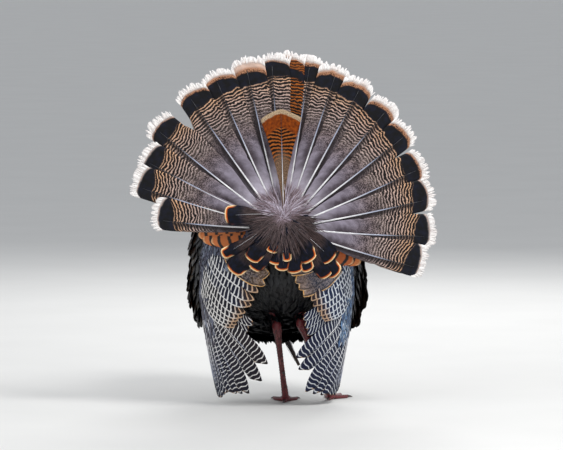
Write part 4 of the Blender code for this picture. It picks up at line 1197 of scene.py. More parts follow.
def ventPaint():
    newPaint("ventFeathers", Roughness=0.6, Specular_IOR_Level=0.15)
    x, y = vaneUv()
    tone, kind, edge = attr("tone"), attr("kind"), attr("edge")
    seed = tone * 30.0
    wander = grain(x * 150.0, y * 90.0, seed, 4.0) - 0.5
    streak = grain(x * 1500.0, y * 80.0, seed)
    navy = blend(rise(wander, -0.2, 0.2), "#060508", "#0C1124")
    fluff = blend(rise(streak, 0.35, 0.65), "#1C1413", "#4A3B3A")
    colour = blend(rise(y + wander * 0.03, 0.03, 0.058), navy, fluff)
    rimAt = edge + wander * 0.0022
    # The rim fades out along one side of each feather.
    oneSide = rise(x * ((tone > 0.5) * 2.0 - 1.0) + wander * 0.02, -0.022, -0.008)
    nearTip = rise(y, 0.024, 0.012) * oneSide
    rim = rise(rimAt, 0.0066, 0.0048) * nearTip * kind
    orange = blend(rise(rimAt, 0.0042, 0.0012), "#C8580A", "#FFDDA8")
    colour = blend(rim, colour, orange)
    return painted(colour, streak, 0.3, 0.0004)


def makeApron():
    card, rod = featherCard(12, 22), tubeForm(5, 8)
    rng = np.random.default_rng(5)
    rows = [(*row, 1.0) for row in apron["shown"]]
    for _ in range(46):
        angle = rng.uniform(104, 250)
        long = 0.092 + 0.022 * max(0, 1 - abs(angle - 184) / 26) - rng.uniform(0, 0.03)
        rows.append((angle, long, rng.uniform(0.026, 0.04), rng.uniform(-3.5, -1.0), 0.0))
    for _ in range(16):
        angle = rng.uniform(122, 238)
        rows.append((angle, rng.uniform(0.065, 0.095), rng.uniform(0.02, 0.034), rng.uniform(1.0, 5.0), 0.0))
    steps = np.linspace(0, 1, 24)
    vanes, quills = {}, []
    for n, (angle, long, wide, layer, rim) in enumerate(rows):
        angle = angle - 360 if angle >= 180 else angle
        radii = np.linspace(0.012, long, 24)
        bend = rng.normal(0, 3.5)
        line, beyond = [], []
        for r in radii:
            short = 1 - r / long
            line.append(apronPoint(angle + bend * short, r, 0.0012 * layer - 0.006 * short))
            beyond.append(apronPoint(angle + 4, r, 0.0012 * layer))
        line, beyond = np.array(line), np.array(beyond)
        along = unit(np.gradient(line, axis=0))
        out = unit(np.cross(beyond - line + 1e-6, along) * -1)
        out = np.where(out[:, 1:2] < 0, -out, out)
        half = wide / 2 * np.interp(steps, (0, 0.3, 0.6, 0.85, 1.0), (0.12, 0.45, 0.86, 1.0, 0.94))
        end = lambda u: wide * (0.20 * np.clip(1 - np.abs(u) ** 2.2, 0, 1) ** 0.6 - 0.10)
        points, x, fromEnd = layVane(
            card, line, out, frayed(half, 3, 0.12), frayed(half, 3, 0.12), end, camber=0.004 + 0.05 * wide,
        )
        edge = np.minimum((1 - np.abs(card["u"])) * np.interp(card["v"], steps, half), fromEnd)
        cell = (n // 11 + 0.06 + 0.42 * card["v"] + 0.46 * card["under"]) / 7
        bake = np.stack(((n % 11 + 0.5 + 0.45 * card["u"]) / 11, cell), -1)
        note(
            vanes, points=points, vane=np.stack((x, fromEnd), -1), bake=bake, edge=edge, tone=rng.random(),
            kind=rim,
        )
        if n % 3 == 0:
            quills.append(layTube(rod, line[:20] + out[:20] * 0.0006, 0.0006, 0.0002))
    stands = ["tail_coverts_under", "tail_base"]
    vanePiece("tail_under_coverts", card, vanes, ventPaint(), "vent_feathers", *stands)
    tubePiece("tail_under_shafts", rod, quills, rod["v"] * 0.6, shaftPaint(), "vent_feathers")


def fluffPaint():
    newPaint("ventFluff", Roughness=0.75, Sheen_Weight=0.35)
    tone, kind = attr("tone"), attr("kind")
    shade = tone * 0.34 + kind * 0.62
    colour = ramp(
        shade, (0.0, "#24171A"), (0.3, "#54403F"), (0.6, "#8D7880"), (0.85, "#D2C6D6"), (1.0, "#F8F0FC"),
    )
    colour = blend(rise(objectGrain(260.0), 0.5, 0.8) * 0.5, colour, "#33272A")
    return painted(colour, objectGrain(1400.0), 0.2, 0.0003)


# Pale downy strands over the root of the fan.
def makeFluff():
    rng = np.random.default_rng(8)
    spots = {}
    for _ in range(3800):
        angle = rng.uniform(-180, 180)
        upper = abs(angle) < 95
        stray = upper and rng.random() < 0.25
        ragged = 0.060 * (1 + 0.20 * math.sin(angle * 0.11 + 1) + 0.14 * math.sin(angle * 0.37))
        radius = rng.random() ** 0.85 * (0.036 if upper else ragged)
        more = rng.uniform(-0.004, 0.003)
        turned = math.radians(angle + rng.normal(0, 9 + 160 * max(0, 0.02 - radius) / 0.02))
        root = apronPoint(angle, radius, more - (0.016 * (radius / 0.055) if upper else -0.009) - 0.004)
        lie = (math.sin(turned), -0.10 if upper else rng.uniform(-0.05, 0.12), math.cos(turned))
        pale = np.clip(1.2 - radius / 0.055, 0.1, 1) if upper else np.clip(1.05 - radius / 0.03, 0, 1)
        note(
            spots, root=root, along=lie, out=(0, 1, 0),
            long=rng.uniform(0.03, 0.06) if stray or rng.random() < 0.15 else rng.uniform(0.01, 0.03),
            wide=rng.uniform(0.0008, 0.0022), tone=rng.random(), kind=pale, curl=rng.normal(0, 0.16),
            bake=fanPlace(angle, radius),
        )
    form = dict(half=((0, 0.4, 0.8, 1), (0.6, 1.0, 0.7, 0.1)), drop=0, camber=0, thick=0.0003)
    growFeathers("tail_fluff", featherCard(1, 4), spots, form, fluffPaint(), "vent_feathers")


bronze = bronzePaint()
makeCoat()
makeUpperCoverts()
makeApron()
makeFluff()


# Bare flesh is one skin over body, neck, head and legs. Sizes of its grain are voxels in metres.
head = {
    "eye": np.array((0.0158, -0.2455, 0.6705)) + shift,
    "eyeRadius": 0.0064,
    "grainHead": 0.00125,
    "grainLeg": 0.0016,
    "grainBody": 0.009,
    # Big caruncles round the foot of the neck: place and radius.
    "wattle": [
        (0.010, -0.266, 0.545, 0.0150), (-0.012, -0.268, 0.541, 0.0160), (0.000, -0.272, 0.560, 0.0105),
        (0.024, -0.256, 0.548, 0.0135), (-0.025, -0.257, 0.545, 0.0140), (0.034, -0.240, 0.543, 0.0115),
        (-0.035, -0.241, 0.541, 0.0115), (0.036, -0.222, 0.550, 0.0095), (-0.036, -0.224, 0.548, 0.0095),
        (0.018, -0.262, 0.566, 0.0095), (-0.017, -0.261, 0.568, 0.0100), (0.029, -0.246, 0.564, 0.0085),
        (-0.029, -0.247, 0.563, 0.0090), (0.004, -0.262, 0.580, 0.0085), (-0.008, -0.258, 0.588, 0.0075),
        (0.013, -0.254, 0.586, 0.0075), (0.033, -0.207, 0.556, 0.0075), (-0.033, -0.208, 0.555, 0.0080),
    ],
    # Loose folds of the throat: chains of place and radius.
    "folds": [
        [
            (0.0, -0.224, 0.648, 0.012), (0.0, -0.232, 0.610, 0.015), (0.0, -0.236, 0.580, 0.020),
            (0.0, -0.236, 0.552, 0.024),
        ],
        [
            (0.008, -0.236, 0.652, 0.0050), (0.010, -0.238, 0.642, 0.0050), (0.013, -0.240, 0.620, 0.0050),
            (0.018, -0.240, 0.595, 0.0060), (0.022, -0.242, 0.575, 0.0080),
        ],
        [
            (-0.008, -0.236, 0.652, 0.0050), (-0.010, -0.238, 0.642, 0.0050),
            (-0.012, -0.241, 0.618, 0.0052), (-0.019, -0.240, 0.594, 0.0060),
            (-0.023, -0.242, 0.574, 0.0080),
        ],
        [
            (0.000, -0.246, 0.650, 0.0050), (0.001, -0.252, 0.640, 0.0048), (0.002, -0.257, 0.622, 0.0048),
            (-0.002, -0.260, 0.602, 0.0056), (0.002, -0.264, 0.584, 0.0066),
        ],
        [
            (0.012, -0.214, 0.646, 0.0060), (0.016, -0.208, 0.632, 0.0058), (0.023, -0.206, 0.600, 0.0070),
            (0.028, -0.208, 0.572, 0.0080),
        ],
        [
            (-0.012, -0.214, 0.646, 0.0060), (-0.016, -0.208, 0.632, 0.0058),
            (-0.023, -0.206, 0.600, 0.0070), (-0.028, -0.208, 0.572, 0.0080),
        ],
    ],
    "snood": [
        (0, -0.256, 0.688, 0.006), (0.003, -0.272, 0.689, 0.0068), (0.011, -0.285, 0.678, 0.007),
        (0.0175, -0.2905, 0.656, 0.0066), (0.019, -0.2925, 0.630, 0.0062), (0.0185, -0.293, 0.604, 0.0048),
    ],
}
legs = {
    "hock": {"left": (0.01, 0.046, 0.196), "right": (-0.05, 0.046, 0.203)},
    "ankle": {"left": (-0.016, -0.016, 0.012), "right": (-0.133, -0.062, 0.012)},
    "hip": {"left": (0.075, -0.055, 0.3), "right": (-0.085, -0.06, 0.3)},
    "turn": {"left": 4, "right": 24},
    "toes": ((33, 0.052), (0, 0.068), (-34, 0.05), (172, 0.026)),  # the way each points and its length
}


# One closed mesh grown from nodes and balls that overlap.
def fleshFrom(nodeNames, balls, voxel, name):
    bm = bmesh.new()
    for node in nodeNames:
        part = bmesh.new()
        part.from_mesh(cadNodes[node].data)
        bmesh.ops.remove_doubles(part, verts=part.verts, dist=0.00002)
        bmesh.ops.recalc_face_normals(part, faces=part.faces)
        piece = bpy.data.meshes.new("part")
        part.to_mesh(piece)
        part.free()
        bm.from_mesh(piece)
        bpy.data.meshes.remove(piece)
    for centre, radius in balls:
        size = radius if np.ndim(radius) else (radius,) * 3
        bmesh.ops.create_icosphere(
            bm, subdivisions=2 if max(size) > 0.006 else 1, radius=1.0,
            matrix=Matrix.Translation(Vector(centre)) @ Matrix.Diagonal((*size, 1)),
        )
    obj = objectFrom(bm, name)
    again = obj.modifiers.new("voxels", "REMESH")
    again.mode, again.voxel_size, again.adaptivity = "VOXEL", voxel, 0.0
    return bakedCopy(obj, name)


# The object's mesh with its modifiers applied, in a new object.
def bakedCopy(obj, name):
    graph = bpy.context.evaluated_depsgraph_get()
    graph.update()
    mesh = bpy.data.meshes.new_from_object(obj.evaluated_get(graph))
    old = obj.data
    bpy.data.objects.remove(obj)
    bpy.data.meshes.remove(old)
    return newObject(name, mesh)


def coordsOf(mesh):
    co = np.empty(len(mesh.vertices) * 3, np.float32)
    mesh.vertices.foreach_get("co", co)
    return co.reshape(-1, 3).astype(float)


def setCoords(mesh, co):
    mesh.vertices.foreach_set("co", co.astype(np.float32).ravel())
    mesh.update()


def normalsOf(mesh):
    normal = np.empty(len(mesh.vertices) * 3, np.float32)
    mesh.vertex_normals.foreach_get("vector", normal)
    return normal.reshape(-1, 3).astype(float)


def smoothed(obj, times, share=0.5):
    ease = obj.modifiers.new("ease", "SMOOTH")
    ease.factor, ease.iterations = share, times
    return bakedCopy(obj, obj.name)


def chain(points, count):
    rows = np.array(points, float)
    at = np.concatenate(([0], np.cumsum(np.linalg.norm(np.diff(rows[:, :3], axis=0), axis=1))))
    fine = np.linspace(0, at[-1], count)
    return np.stack([np.interp(fine, at, rows[:, k]) for k in range(rows.shape[1])], -1)


def earAt(sign):
    return np.array((sign * 0.0196, -0.2195, 0.659)) + shift


def headBalls(rng):
    balls = [
        (np.array((0, -0.19, 0.548)) + shift, (0.04, 0.042, 0.05)),
        (np.array((0, -0.214, 0.56)) + shift, (0.031, 0.03, 0.03)),
        (np.array((0.0184, -0.2930, 0.6040)) + shift, (0.0044, 0.0044, 0.0056)),  # the snood's round end
    ]
    for fold in head["folds"]:
        for x, y, z, radius in chain(fold, 26):
            spot = np.array((x, y, z)) + shift + rng.normal(0, 0.0005, 3)
            balls.append((spot, (radius, radius, radius * 1.3)))
    whole = 2 * math.pi
    for sign in (1, -1):
        eye = head["eye"] * (sign, 1, 1)
        for turn in np.linspace(0, whole, 48, endpoint=False):  # the lids, the upper one thicker
            aside = sign * (0.0026 - 0.0014 * abs(math.cos(turn)))
            spot = eye + np.array((aside, math.cos(turn) * 0.0070, math.sin(turn) * 0.0056))
            balls.append((spot, 0.0016 if math.sin(turn) > 0 else 0.0012))
        for centre, turns, aside, wide, tall, up, radius in (
            (eye, np.linspace(0.10, math.pi - 0.10, 18), 0.001, 0.011, 0.0094, 0.0008, 0.0018),  # brow
            # bag
            (eye, np.linspace(math.pi + 0.3, whole - 0.3, 16), 0.0014, 0.0104, 0.0088, -0.0004, 0.0014),
            (earAt(sign), np.linspace(0, whole, 14, endpoint=False), 0, 0.0044, 0.004, 0, 0.0013),  # ear rim
        ):
            for turn in turns:
                offset = (sign * aside, math.cos(turn) * wide, math.sin(turn) * tall + up)
                balls.append((centre + np.array(offset), radius))
    return balls


# Warts on the bare neck and throat, largest at the bottom.
def wartBalls(rng):
    tree = surfaceTree(*[cadNodes[name] for name in ("neck", "dewlap", "head")])
    balls = []
    while len(balls) < 640:
        z = rng.uniform(0.575, 0.664) if rng.random() < 0.8 else rng.uniform(0.54, 0.60)
        start = np.array((0, -0.212 - 0.020 * rng.random(), z)) + shift
        spin = rng.uniform(0, 2 * math.pi)
        hit, normal = struck(tree, start, (math.cos(spin), math.sin(spin), rng.normal(0, 0.15)))
        if hit is None or (hit[2] > 0.648 and hit[1] < -0.170):
            continue
        low = np.clip((0.65 - hit[2]) / 0.09, 0, 1)
        size = rng.uniform(0.0012, 0.0022) + 0.0040 * low**2 * rng.random()
        balls.append((hit - normal * size * 0.3, (size, size, size * rng.uniform(0.8, 1.7))))
    oval = (0.92, 0.88, 1.22)
    for x, y, z, radius in head["wattle"]:
        lobe = np.array((x, y, z)) + shift
        balls.append((lobe, tuple(radius * share for share in oval)))
        for _ in range(22):
            way = unit(rng.normal(0, 1, 3)) * oval
            spot = lobe + way * radius * rng.uniform(0.7, 0.95)
            balls.append((spot, radius * rng.uniform(0.18, 0.4) * rng.uniform(0.8, 1.3, 3)))
    return balls


# 0 in the creases between small swellings, 1 on top of them.
def pebbled(point, scale):
    gaps = noise.voronoi(Vector(point) * scale)[0]
    return min(1.0, (gaps[1] - gaps[0]) / 0.35)


def eyeGap(co):
    gaps = [np.linalg.norm(co - head["eye"] * (sign, 1, 1), axis=1) for sign in (1, -1)]
    return np.minimum(*gaps)


# How far points lie from the line between two places, and how far along it.
def fromLine(points, start, end, least=0):
    t = np.clip((points - start) @ (end - start) / ((end - start) @ (end - start)), least, 1)
    return np.linalg.norm(points - start - t[:, None] * (end - start), axis=1), t


# Folds, creases and pebbles on the bare skin, rings on the snood, ear holes and the mouth.
def shapeHead(obj):
    mesh = obj.data
    co, normal = coordsOf(mesh), normalsOf(mesh)
    place = co - shift
    move = np.zeros(len(co))
    calm = np.clip((eyeGap(co) - 0.007) / 0.006, 0, 1)
    snoodLine = chain(head["snood"], 240)
    onSnood = np.zeros(len(co), bool)
    nearest = np.zeros(len(co), int)
    for k, point in enumerate(place):
        if point[1] < -0.252 and point[2] > 0.595:
            gap = np.linalg.norm(snoodLine[:, :3] - point, axis=1)
            nearest[k] = gap.argmin()
            onSnood[k] = gap[nearest[k]] < 0.0105 and nearest[k] > 40
    bare = np.clip((0.650 - place[:, 2]) / 0.012, 0, 1)
    for k, point in enumerate(co):
        if point[2] < 0.53 or math.hypot(place[k, 0], place[k, 1] + 0.225) > 0.062:
            continue
        v = Vector(point)
        if onSnood[k]:
            rings = 0.0005 * math.sin(nearest[k] * 0.62 + 3.0 * noise.noise(v * 90.0))
            move[k] = rings + noise.noise(v * 240.0) * 0.0009
            continue
        fold = noise.noise(v * 170.0) * 0.00075 + noise.noise(v * 420.0) * 0.00035
        crease = abs(noise.noise(Vector((point[0] * 260, point[1] * 260, point[2] * 520)))) * -0.0008
        crown = 1.0 if point[2] > 0.678 else 0.75
        face = (fold * crown + crease + pebbled(point, 520.0) * 0.0005) * (0.30 + 0.70 * calm[k])
        sag = 0.0006 * math.sin(point[2] * 640.0 + 3.0 * noise.noise(v * 45.0))
        loose = noise.noise(v * 75.0) * 0.0019 + pebbled(point, 235.0) * 0.0012 - 0.0005 + sag
        move[k] = face + (loose - face) * bare[k]
    for sign in (1, -1):
        reach = np.linalg.norm((co - earAt(sign)) * (0.6, 1, 1), axis=1)
        move -= 0.0032 * np.clip(1 - reach / 0.0038, 0, 1)  # ear holes, sunk
        mouth = np.array(((sign * 0.0112, -0.2680, 0.6570), (sign * 0.0155, -0.2500, 0.6490)))
        gap, t = fromLine(place, *mouth)
        move -= 0.0016 * np.exp(-(gap / 0.0013) ** 2) * (1 - 0.6 * t)
    setCoords(mesh, co + normal * move[:, None])


def skinPaint():
    newPaint("turkeySkin", Roughness=0.4, Subsurface_Weight=0.12, Subsurface_Radius=(0.004, 0.0015, 0.001))
    blue, white, leg, dark, high = (attr(key) for key in ("blue", "white", "leg", "dark", "high"))
    mid, fine = objectGrain(120.0), objectGrain(700.0, 4.0)
    # Painted shade: high darkens the red, blue and white in the creases between the small swellings and
    # lightens their tops.
    flush = ramp(
        high * 0.32 + mid * 0.75,
        (0.15, "#6E0A10"), (0.42, "#A3141A"), (0.68, "#C22A28"), (0.95, "#D9574E"),
    )
    sky = ramp(
        high * 0.1 + mid * 0.9, (0.2, "#23508C"), (0.48, "#3F7CB8"), (0.66, "#78A9D4"), (0.85, "#BCD4E6"),
    )
    bone = ramp(high * 0.12 + mid * 0.88, (0.15, "#A9BCCB"), (0.45, "#D6DEE3"), (0.8, "#F4F2EC"))
    colour = blend(blue, flush, sky)
    colour = blend(white, colour, bone)
    shin = blend(rise(fine, 0.3, 0.7), "#5C2124", "#9C454A")
    shin = blend(rise(mid, 0.5, 0.75), shin, "#6E3E40")
    colour = blend(leg, colour, shin)
    # The skin under the feathers is painted near black, standing for the dark down and the shade between the
    # feathers.
    colour = blend(dark, colour, blend(mid, "#0B0A0C", "#1A1614"))
    return painted(colour, fine, 0.25, 0.0005)


def makeSkin():
    rng = np.random.default_rng(21)
    balls = headBalls(rng) + wartBalls(rng)
    face = smoothed(fleshFrom(["neck", "head", "snood", "dewlap"], balls, head["grainHead"], "face"), 2)
    print("head flesh", len(face.data.polygons))
    knots = [(np.array(legs["hock"][side]) + shift, (0.0125, 0.0125, 0.0155)) for side in ("left", "right")]
    feet = ["shank_left", "shank_right", "foot_left", "foot_right"]
    feet = smoothed(fleshFrom(feet, knots, head["grainLeg"], "feet"), 4)
    body = ["trunk", "thigh_left", "thigh_right", "wing_left_coverts", "wing_right_coverts", "tail_base"]
    hump = (tail["centre"] + np.array((0, -0.035, -0.005)), (0.05, 0.06, 0.045))
    body = smoothed(fleshFrom(body, [hump], head["grainBody"], "body"), 6)
    setCoords(body.data, coordsOf(body.data) - normalsOf(body.data) * 0.0105)
    body = smoothed(body, 2)
    print("body flesh", len(body.data.polygons), "leg flesh", len(feet.data.polygons))
    for other in (face, feet):
        merge = body.modifiers.new("merge", "BOOLEAN")
        merge.operation, merge.solver, merge.object = "UNION", "MANIFOLD", other
    skin = bakedCopy(body, "skin")
    for other in (face, feet):
        bpy.data.objects.remove(other)
    shapeHead(skin)
    co = coordsOf(skin.data)
    p = co - shift
    wobble = np.array([noise.noise(Vector(point) * 45.0) for point in co]) * 0.006
    step = lambda value, a, b: np.clip((value - a) / (b - a), 0, 1)
    isHead = step(co[:, 2], 0.588, 0.600)
    edge = 0.642 - 0.60 * np.clip(p[:, 1] + 0.230, 0, 0.05)
    faceZone = step(p[:, 2] + wobble * 1.6 - edge, -0.006, 0.006)
    snoodTop = step(p[:, 2], 0.692, 0.696) * step(-p[:, 1], 0.246, 0.254)
    snoodZone = np.maximum(step(-p[:, 1], 0.268, 0.274), snoodTop)
    nearLeg = np.zeros(len(co))
    for side in ("left", "right"):
        hock, ankle = np.array(legs["hock"][side]), np.array(legs["ankle"][side])
        onShank = fromLine(p, hock, ankle, -0.2)[0] < 0.024
        onFoot = (np.linalg.norm(p[:, :2] - ankle[:2], axis=1) < 0.10) & (p[:, 2] < 0.035)
        nearLeg = np.maximum(nearLeg, onShank | onFoot)
    legZone = step(0.245 - co[:, 2], 0, 0.012) * (np.abs(p[:, 0]) < 0.24) * nearLeg
    throat = step(p[:, 2], 0.525, 0.53) * step(-p[:, 1], 0.195, 0.2) * (np.abs(p[:, 0]) < 0.049)
    bareHead = isHead * (np.abs(p[:, 0]) < 0.06) * (p[:, 1] < -0.12)
    markPoints(
        skin.data, blue=faceZone * (1 - snoodZone) * 0.95,
        white=step(p[:, 2] + wobble, 0.678, 0.686) * (1 - snoodZone), leg=legZone,
        # high carries the skin paint's painted shade in the creases between swellings.
        high=np.array([pebbled(point, 235.0) if point[2] > 0.5 else 0.5 for point in co]),
        # dark marks the skin under the feathers, painted near black for the dark down and the painted shade
        # between them.
        dark=(1 - np.maximum(throat, bareHead)) * (1 - legZone),
    )
    smoothFaces(skin.data)
    pairs = [f"{part}_{side}" for part in ("thigh", "shank", "foot") for side in ("left", "right")]
    return finishPiece(skin, skinPaint(), "red_skin", "trunk", "neck", "head", "snood", "dewlap", *pairs)


def eyePaint():
    newPaint("eyeball", Roughness=0.08, Coat_Weight=1.0, Coat_Roughness=0.03)
    away = attr("away")
    rays = objectGrain(900.0)
    iris = blend(rise(rays, 0.35, 0.7), "#2A150B", "#5E3518")
    colour = blend(rise(away, 0.42, 0.46), "#050505", iris)
    colour = blend(rise(away, 0.8, 0.9), colour, "#241C1A")
    return painted(colour)


def makeEyes():
    paint = eyePaint()
    turned = math.radians(12)
    for sign, side in ((1, "left"), (-1, "right")):
        bm = bmesh.new()
        bmesh.ops.create_uvsphere(bm, u_segments=36, v_segments=22, radius=head["eyeRadius"])
        for vert in bm.verts:  # the clear dome in front of the iris stands out a little
            out = vert.co.x * sign / head["eyeRadius"]
            if out > 0.55:
                vert.co *= 1 + 0.06 * (out - 0.55) / 0.45
        spin = Matrix.Rotation(-turned * sign, 3, "Z")
        bmesh.ops.rotate(bm, verts=bm.verts, cent=(0, 0, 0), matrix=spin)
        place = head["eye"] * (sign, 1, 1) - np.array((sign * 0.0013, 0, 0))
        bmesh.ops.translate(bm, verts=bm.verts, vec=place)
        obj = objectFrom(bm, f"eyeball_{side}")
        co = coordsOf(obj.data)
        look = unit(np.array((sign * math.cos(turned), -math.sin(turned), 0.05)))
        markPoints(obj.data, away=np.arccos(np.clip(unit(co - co.mean(0)) @ look, -1, 1)) / 1.05)
        smoothFaces(obj.data)
        finishPiece(obj, paint, "eye", f"eye_{side}")


# Horn that grows pale towards a tip, where one is given by its place along the body.
def hornPaint(name, pale, dark, tip=None):
    newPaint(name, Roughness=0.35, Coat_Weight=0.2)
    streak = objectGrain(220.0, 4.0)
    colour = blend(rise(streak, 0.35, 0.65), pale, dark)
    if tip:
        forward = parted(put("TexCoord", out=3))[1]
        colour = blend(rise(forward + streak * 0.006, *tip), colour, "#E2CFA4")
    return painted(colour, objectGrain(500.0), 0.25, 0.0003)


def hornPiece(nodeNames, name, voxel, paint, slotName):
    obj = smoothed(fleshFrom(nodeNames, [], voxel, name), 3)
    smoothFaces(obj.data)
    if "bill_upper" in nodeNames:
        co, normal = coordsOf(obj.data), normalsOf(obj.data)
        for sign in (1, -1):  # nostrils
            hole = np.array((sign * 0.0075, -0.2795, 0.6705)) + shift
            reach = np.linalg.norm((co - hole) * (1, 0.55, 1.3), axis=1)
            co = co - normal * (0.0016 * np.clip(1 - reach / 0.0026, 0, 1))[:, None]
        setCoords(obj.data, co)
    finishPiece(obj, paint, slotName, *nodeNames)


def makeHorn():
    bill = hornPaint("billHorn", "#C9B58A", "#8C7355", (-0.262, -0.272))
    for name in ("bill_upper", "bill_lower"):
        hornPiece([name], name + "_horn", 0.0005, bill, "horn")
    toes = ("hind", "inner", "middle", "outer")
    claws = [f"claw_{side}_{toe}" for side in ("left", "right") for toe in toes]
    hornPiece(claws, "claws", 0.00065, hornPaint("clawHorn", "#2A211D", "#4A3A31"), "claw")
    spurPaint = hornPaint("spurHorn", "#1E1714", "#4B372C")
    hornPiece(["spur_left", "spur_right"], "spurs", 0.0006, spurPaint, "claw")


# The path of the beard: place and radius.
beard = {
    "path": [
        (0, -0.292, 0.372, 0.006), (0, -0.3, 0.362, 0.009), (-0.003, -0.326, 0.33, 0.0115),
        (-0.01, -0.34, 0.255, 0.0115), (-0.022, -0.342, 0.18, 0.0095), (-0.043, -0.336, 0.115, 0.007),
        (-0.07, -0.326, 0.06, 0.003),
    ],
    "strands": 230,
}


def beardPaint():
    newPaint("beardBristles", Roughness=0.38)
    colour = blend(attr("tone"), "#0A0A0E", "#1E2433")
    colour = blend(rise(attr("kind"), 0.72, 1.0), colour, "#3A2A22")
    return painted(colour, objectGrain(1500.0), 0.2, 0.0002)


def makeBeard():
    rng = np.random.default_rng(4)
    form, steps = tubeForm(4, 9), 24
    spine = chain(beard["path"], steps)
    along = unit(np.gradient(spine[:, :3], axis=0))
    side = unit(np.cross(along, (0, 1.0, 0.2)))
    other = np.cross(along, side)
    rods = []
    for _ in range(beard["strands"]):
        turn, out = rng.uniform(0, 2 * math.pi), math.sqrt(rng.random())
        stop = int(steps * rng.uniform(0.72, 1.0)) if rng.random() < 0.6 else steps
        spread = out * (spine[:, 3] - 0.0008)
        wave = rng.normal(0, 0.0010) * np.sin(np.linspace(0, rng.uniform(3, 8), steps))
        line = spine[:, :3] + side * (math.cos(turn) * spread + wave)[:, None]
        line = line + other * (math.sin(turn) * spread)[:, None]
        rods.append(layTube(form, line[: max(stop, 8)] + shift, 0.00065, 0.00035))
    tone = rng.random((len(rods), 1))
    tubePiece("beard_bristles", form, rods, form["v"], beardPaint(), "beard", "beard", tone=tone)


def scalePaint():
    newPaint("legScales", Roughness=0.36, Coat_Weight=0.2)
    tone, edge = attr("tone"), attr("edge")
    fine = objectGrain(600.0)
    colour = ramp(tone * 0.5 + fine * 0.5, (0.2, "#4A1A1E"), (0.5, "#7A3034"), (0.8, "#94504E"))
    colour = blend(rise(edge, 0.0009, 0.0002), colour, "#2C1214")
    return painted(colour, fine, 0.25, 0.0003)


def makeScales():
    rng = np.random.default_rng(15)
    spots = {}

    def addScale(tree, start, ray, along, long, wide):
        hit, out = struck(tree, start, ray, 0.03)
        if hit is None:
            return
        bake = (0.05 + 0.9 * (hit[0] + 0.2) / 0.4, 0.05 + 0.9 * hit[2] / 0.24)
        note(
            spots, root=hit - out * 0.0002 - along * long * 0.4, along=along + out * 0.07, out=out,
            long=long, wide=wide, tone=rng.random(), bake=bake,
        )

    for side, sign in (("left", 1), ("right", -1)):
        tree = surfaceTree(cadNodes[f"shank_{side}"], cadNodes[f"foot_{side}"])
        hock, ankle = np.array(legs["hock"][side]) + shift, np.array(legs["ankle"][side]) + shift
        axis = unit(ankle - hock)
        turned = math.radians(-sign * legs["turn"][side])
        forward = np.array((math.sin(turned), -math.cos(turned), 0.0))
        forward = unit(forward - axis * axis.dot(forward))
        aside = np.cross(axis, forward)
        ray = lambda turn: math.cos(math.radians(turn)) * forward + math.sin(math.radians(turn)) * aside
        for n in range(25):  # two files of broad scutes down the front, and two behind
            centre = hock + (ankle - hock) * (0.02 + n / 25)
            for turn, wide in ((22, 0.0098), (-22, 0.0098), (158, 0.0085), (-158, 0.0085)):
                addScale(tree, centre + axis * (0.003 if turn > 0 else 0), ray(turn), axis, 0.0108, wide)
        for n in range(50):  # small scales on the sides
            centre = hock + (ankle - hock) * (n / 50)
            for turn in (60, 80, 100, 120, -60, -80, -100, -120):
                addScale(tree, centre, ray(turn + 10 * (n % 2)), axis, 0.0058, 0.0048)
        for angle, long in legs["toes"]:
            t = math.radians(sign * angle - legs["turn"][side])
            way = np.array((math.sin(t), -math.cos(t), 0.0))
            beside = np.cross(way, (0, 0, 1.0))
            number = int(long / 0.0044)
            for n in range(number):
                start = ankle * (1, 1, 0) + way * (0.006 + (long - 0.002) * n / number) + (0, 0, 0.004)
                for lean in (0, 48, -48):
                    up = np.array(
                        (0, 0, math.cos(math.radians(lean)))
                    ) + beside * math.sin(math.radians(lean))
                    size = (0.0052, 0.005) if lean else (0.0068, 0.0098 - 0.003 * n / number)
                    addScale(tree, start, up, way, *size)
    form = dict(
        half=((0, 0.3, 0.7, 1.0), (0.8, 1.0, 0.95, 0.5)), drop=0.12, camber=0.17, curl=0, thick=0.0007,
    )
    growFeathers("leg_scales", featherCard(4, 3), spots, form, scalePaint(), "leg_scales")


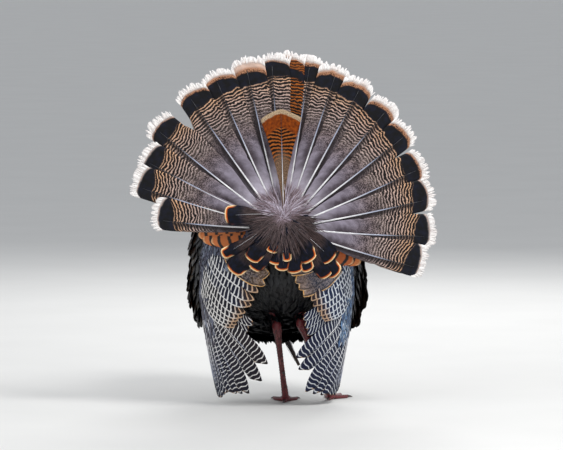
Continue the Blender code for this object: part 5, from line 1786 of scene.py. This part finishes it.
# Dark loose feathers from the thighs down to the hocks.
def makeLeggings():
    rng = np.random.default_rng(19)
    spots = {}
    for side in ("left", "right"):
        tree = surfaceTree(cadNodes[f"thigh_{side}"], cadNodes[f"shank_{side}"])
        hip, hock = np.array(legs["hip"][side]) + shift, np.array(legs["hock"][side]) + shift
        axis = unit(hock - hip)
        first = unit(np.cross(axis, (1.0, 0, 0)))
        second = np.cross(axis, first)
        for n in range(26):
            share = n / 25 * 0.90
            number = int(26 - 16 * share)
            for k in range(number):
                a = 2 * math.pi * (k + rng.random() * 0.5 + 0.5 * (n % 2)) / number
                ray = math.cos(a) * first + math.sin(a) * second
                hit, out = struck(tree, hip + (hock - hip) * share, ray, 0.2)
                if hit is None:
                    continue
                out = unit(out)
                note(
                    spots, root=hit - out * 0.003, along=axis + out * 0.14 + rng.normal(0, 0.07, 3), out=out,
                    long=0.036 - 0.016 * share, wide=0.016 - 0.009 * share, tone=rng.random(), kind=1.0,
                    bake=skinPlace(hit[None])[0],
                )
    growFeathers("coat_leggings", featherCard(4, 5), spots, raggedForm, bronze, "bronze_feathers")


skin = makeSkin()
makeNeckFeathers(skin)
makeEyes()
makeHorn()
makeBeard()
makeScales()
makeLeggings()


room = {
    "cameraTurn": 176.5,
    "cameraRise": 4.0,
    "cameraAway": 12.0,
    "aim": (-0.0057, 0.0281, 0.445),
    "lens": 307,
    "lights": {  # place, size, power
        "keyLight": ((-1.6, 2.4, 3.4), 1.3, 105),
        "fillLight": ((3.0, 2.4, 1.4), 2.6, 34),
        "frontLight": ((-0.8, -3.2, 2.8), 1.8, 75),
    },
}


# Floor, lights and camera.
def makeRoom():
    bm = bmesh.new()
    bmesh.ops.create_grid(bm, x_segments=1, y_segments=1, size=90)
    floor = objectFrom(bm, "floor")
    newPaint("floorPaint", Roughness=0.8)
    floor.data.materials.append(painted(blend(objectGrain(3.0), "#DAD9D6", "#E2E1DE")))
    world = bpy.data.worlds.new("studio")
    world.use_nodes = True
    sky = world.node_tree.nodes["Background"].inputs
    sky[0].default_value, sky[1].default_value = hue("#E9EDF3"), 0.62
    bpy.context.scene.world = world
    bpy.context.scene.view_settings.view_transform = "Standard"
    for name, (place, size, power) in room["lights"].items():
        light = bpy.data.lights.new(name, "AREA")
        light.energy, light.size = power, size
        lamp = newObject(name, light)
        lamp.location = place
        lamp.rotation_euler = (Vector((0, 0, 0.4)) - Vector(place)).to_track_quat("-Z", "Y").to_euler()
    turn, up = math.radians(room["cameraTurn"]), math.radians(room["cameraRise"])
    back = Vector((math.sin(turn) * math.cos(up), -math.cos(turn) * math.cos(up), math.sin(up)))
    lens = bpy.data.cameras.new("camera")
    lens.lens, lens.sensor_width = room["lens"], 36
    lens.clip_start, lens.clip_end = 0.1, 60
    camera = newObject("camera", lens)
    camera.location = Vector(room["aim"]) + back * room["cameraAway"]
    camera.rotation_mode = "QUATERNION"
    camera.rotation_quaternion = (-back).to_track_quat("-Z", "Y")
    bpy.context.scene.camera = camera


makeRoom()
bpy.context.view_layer.update()
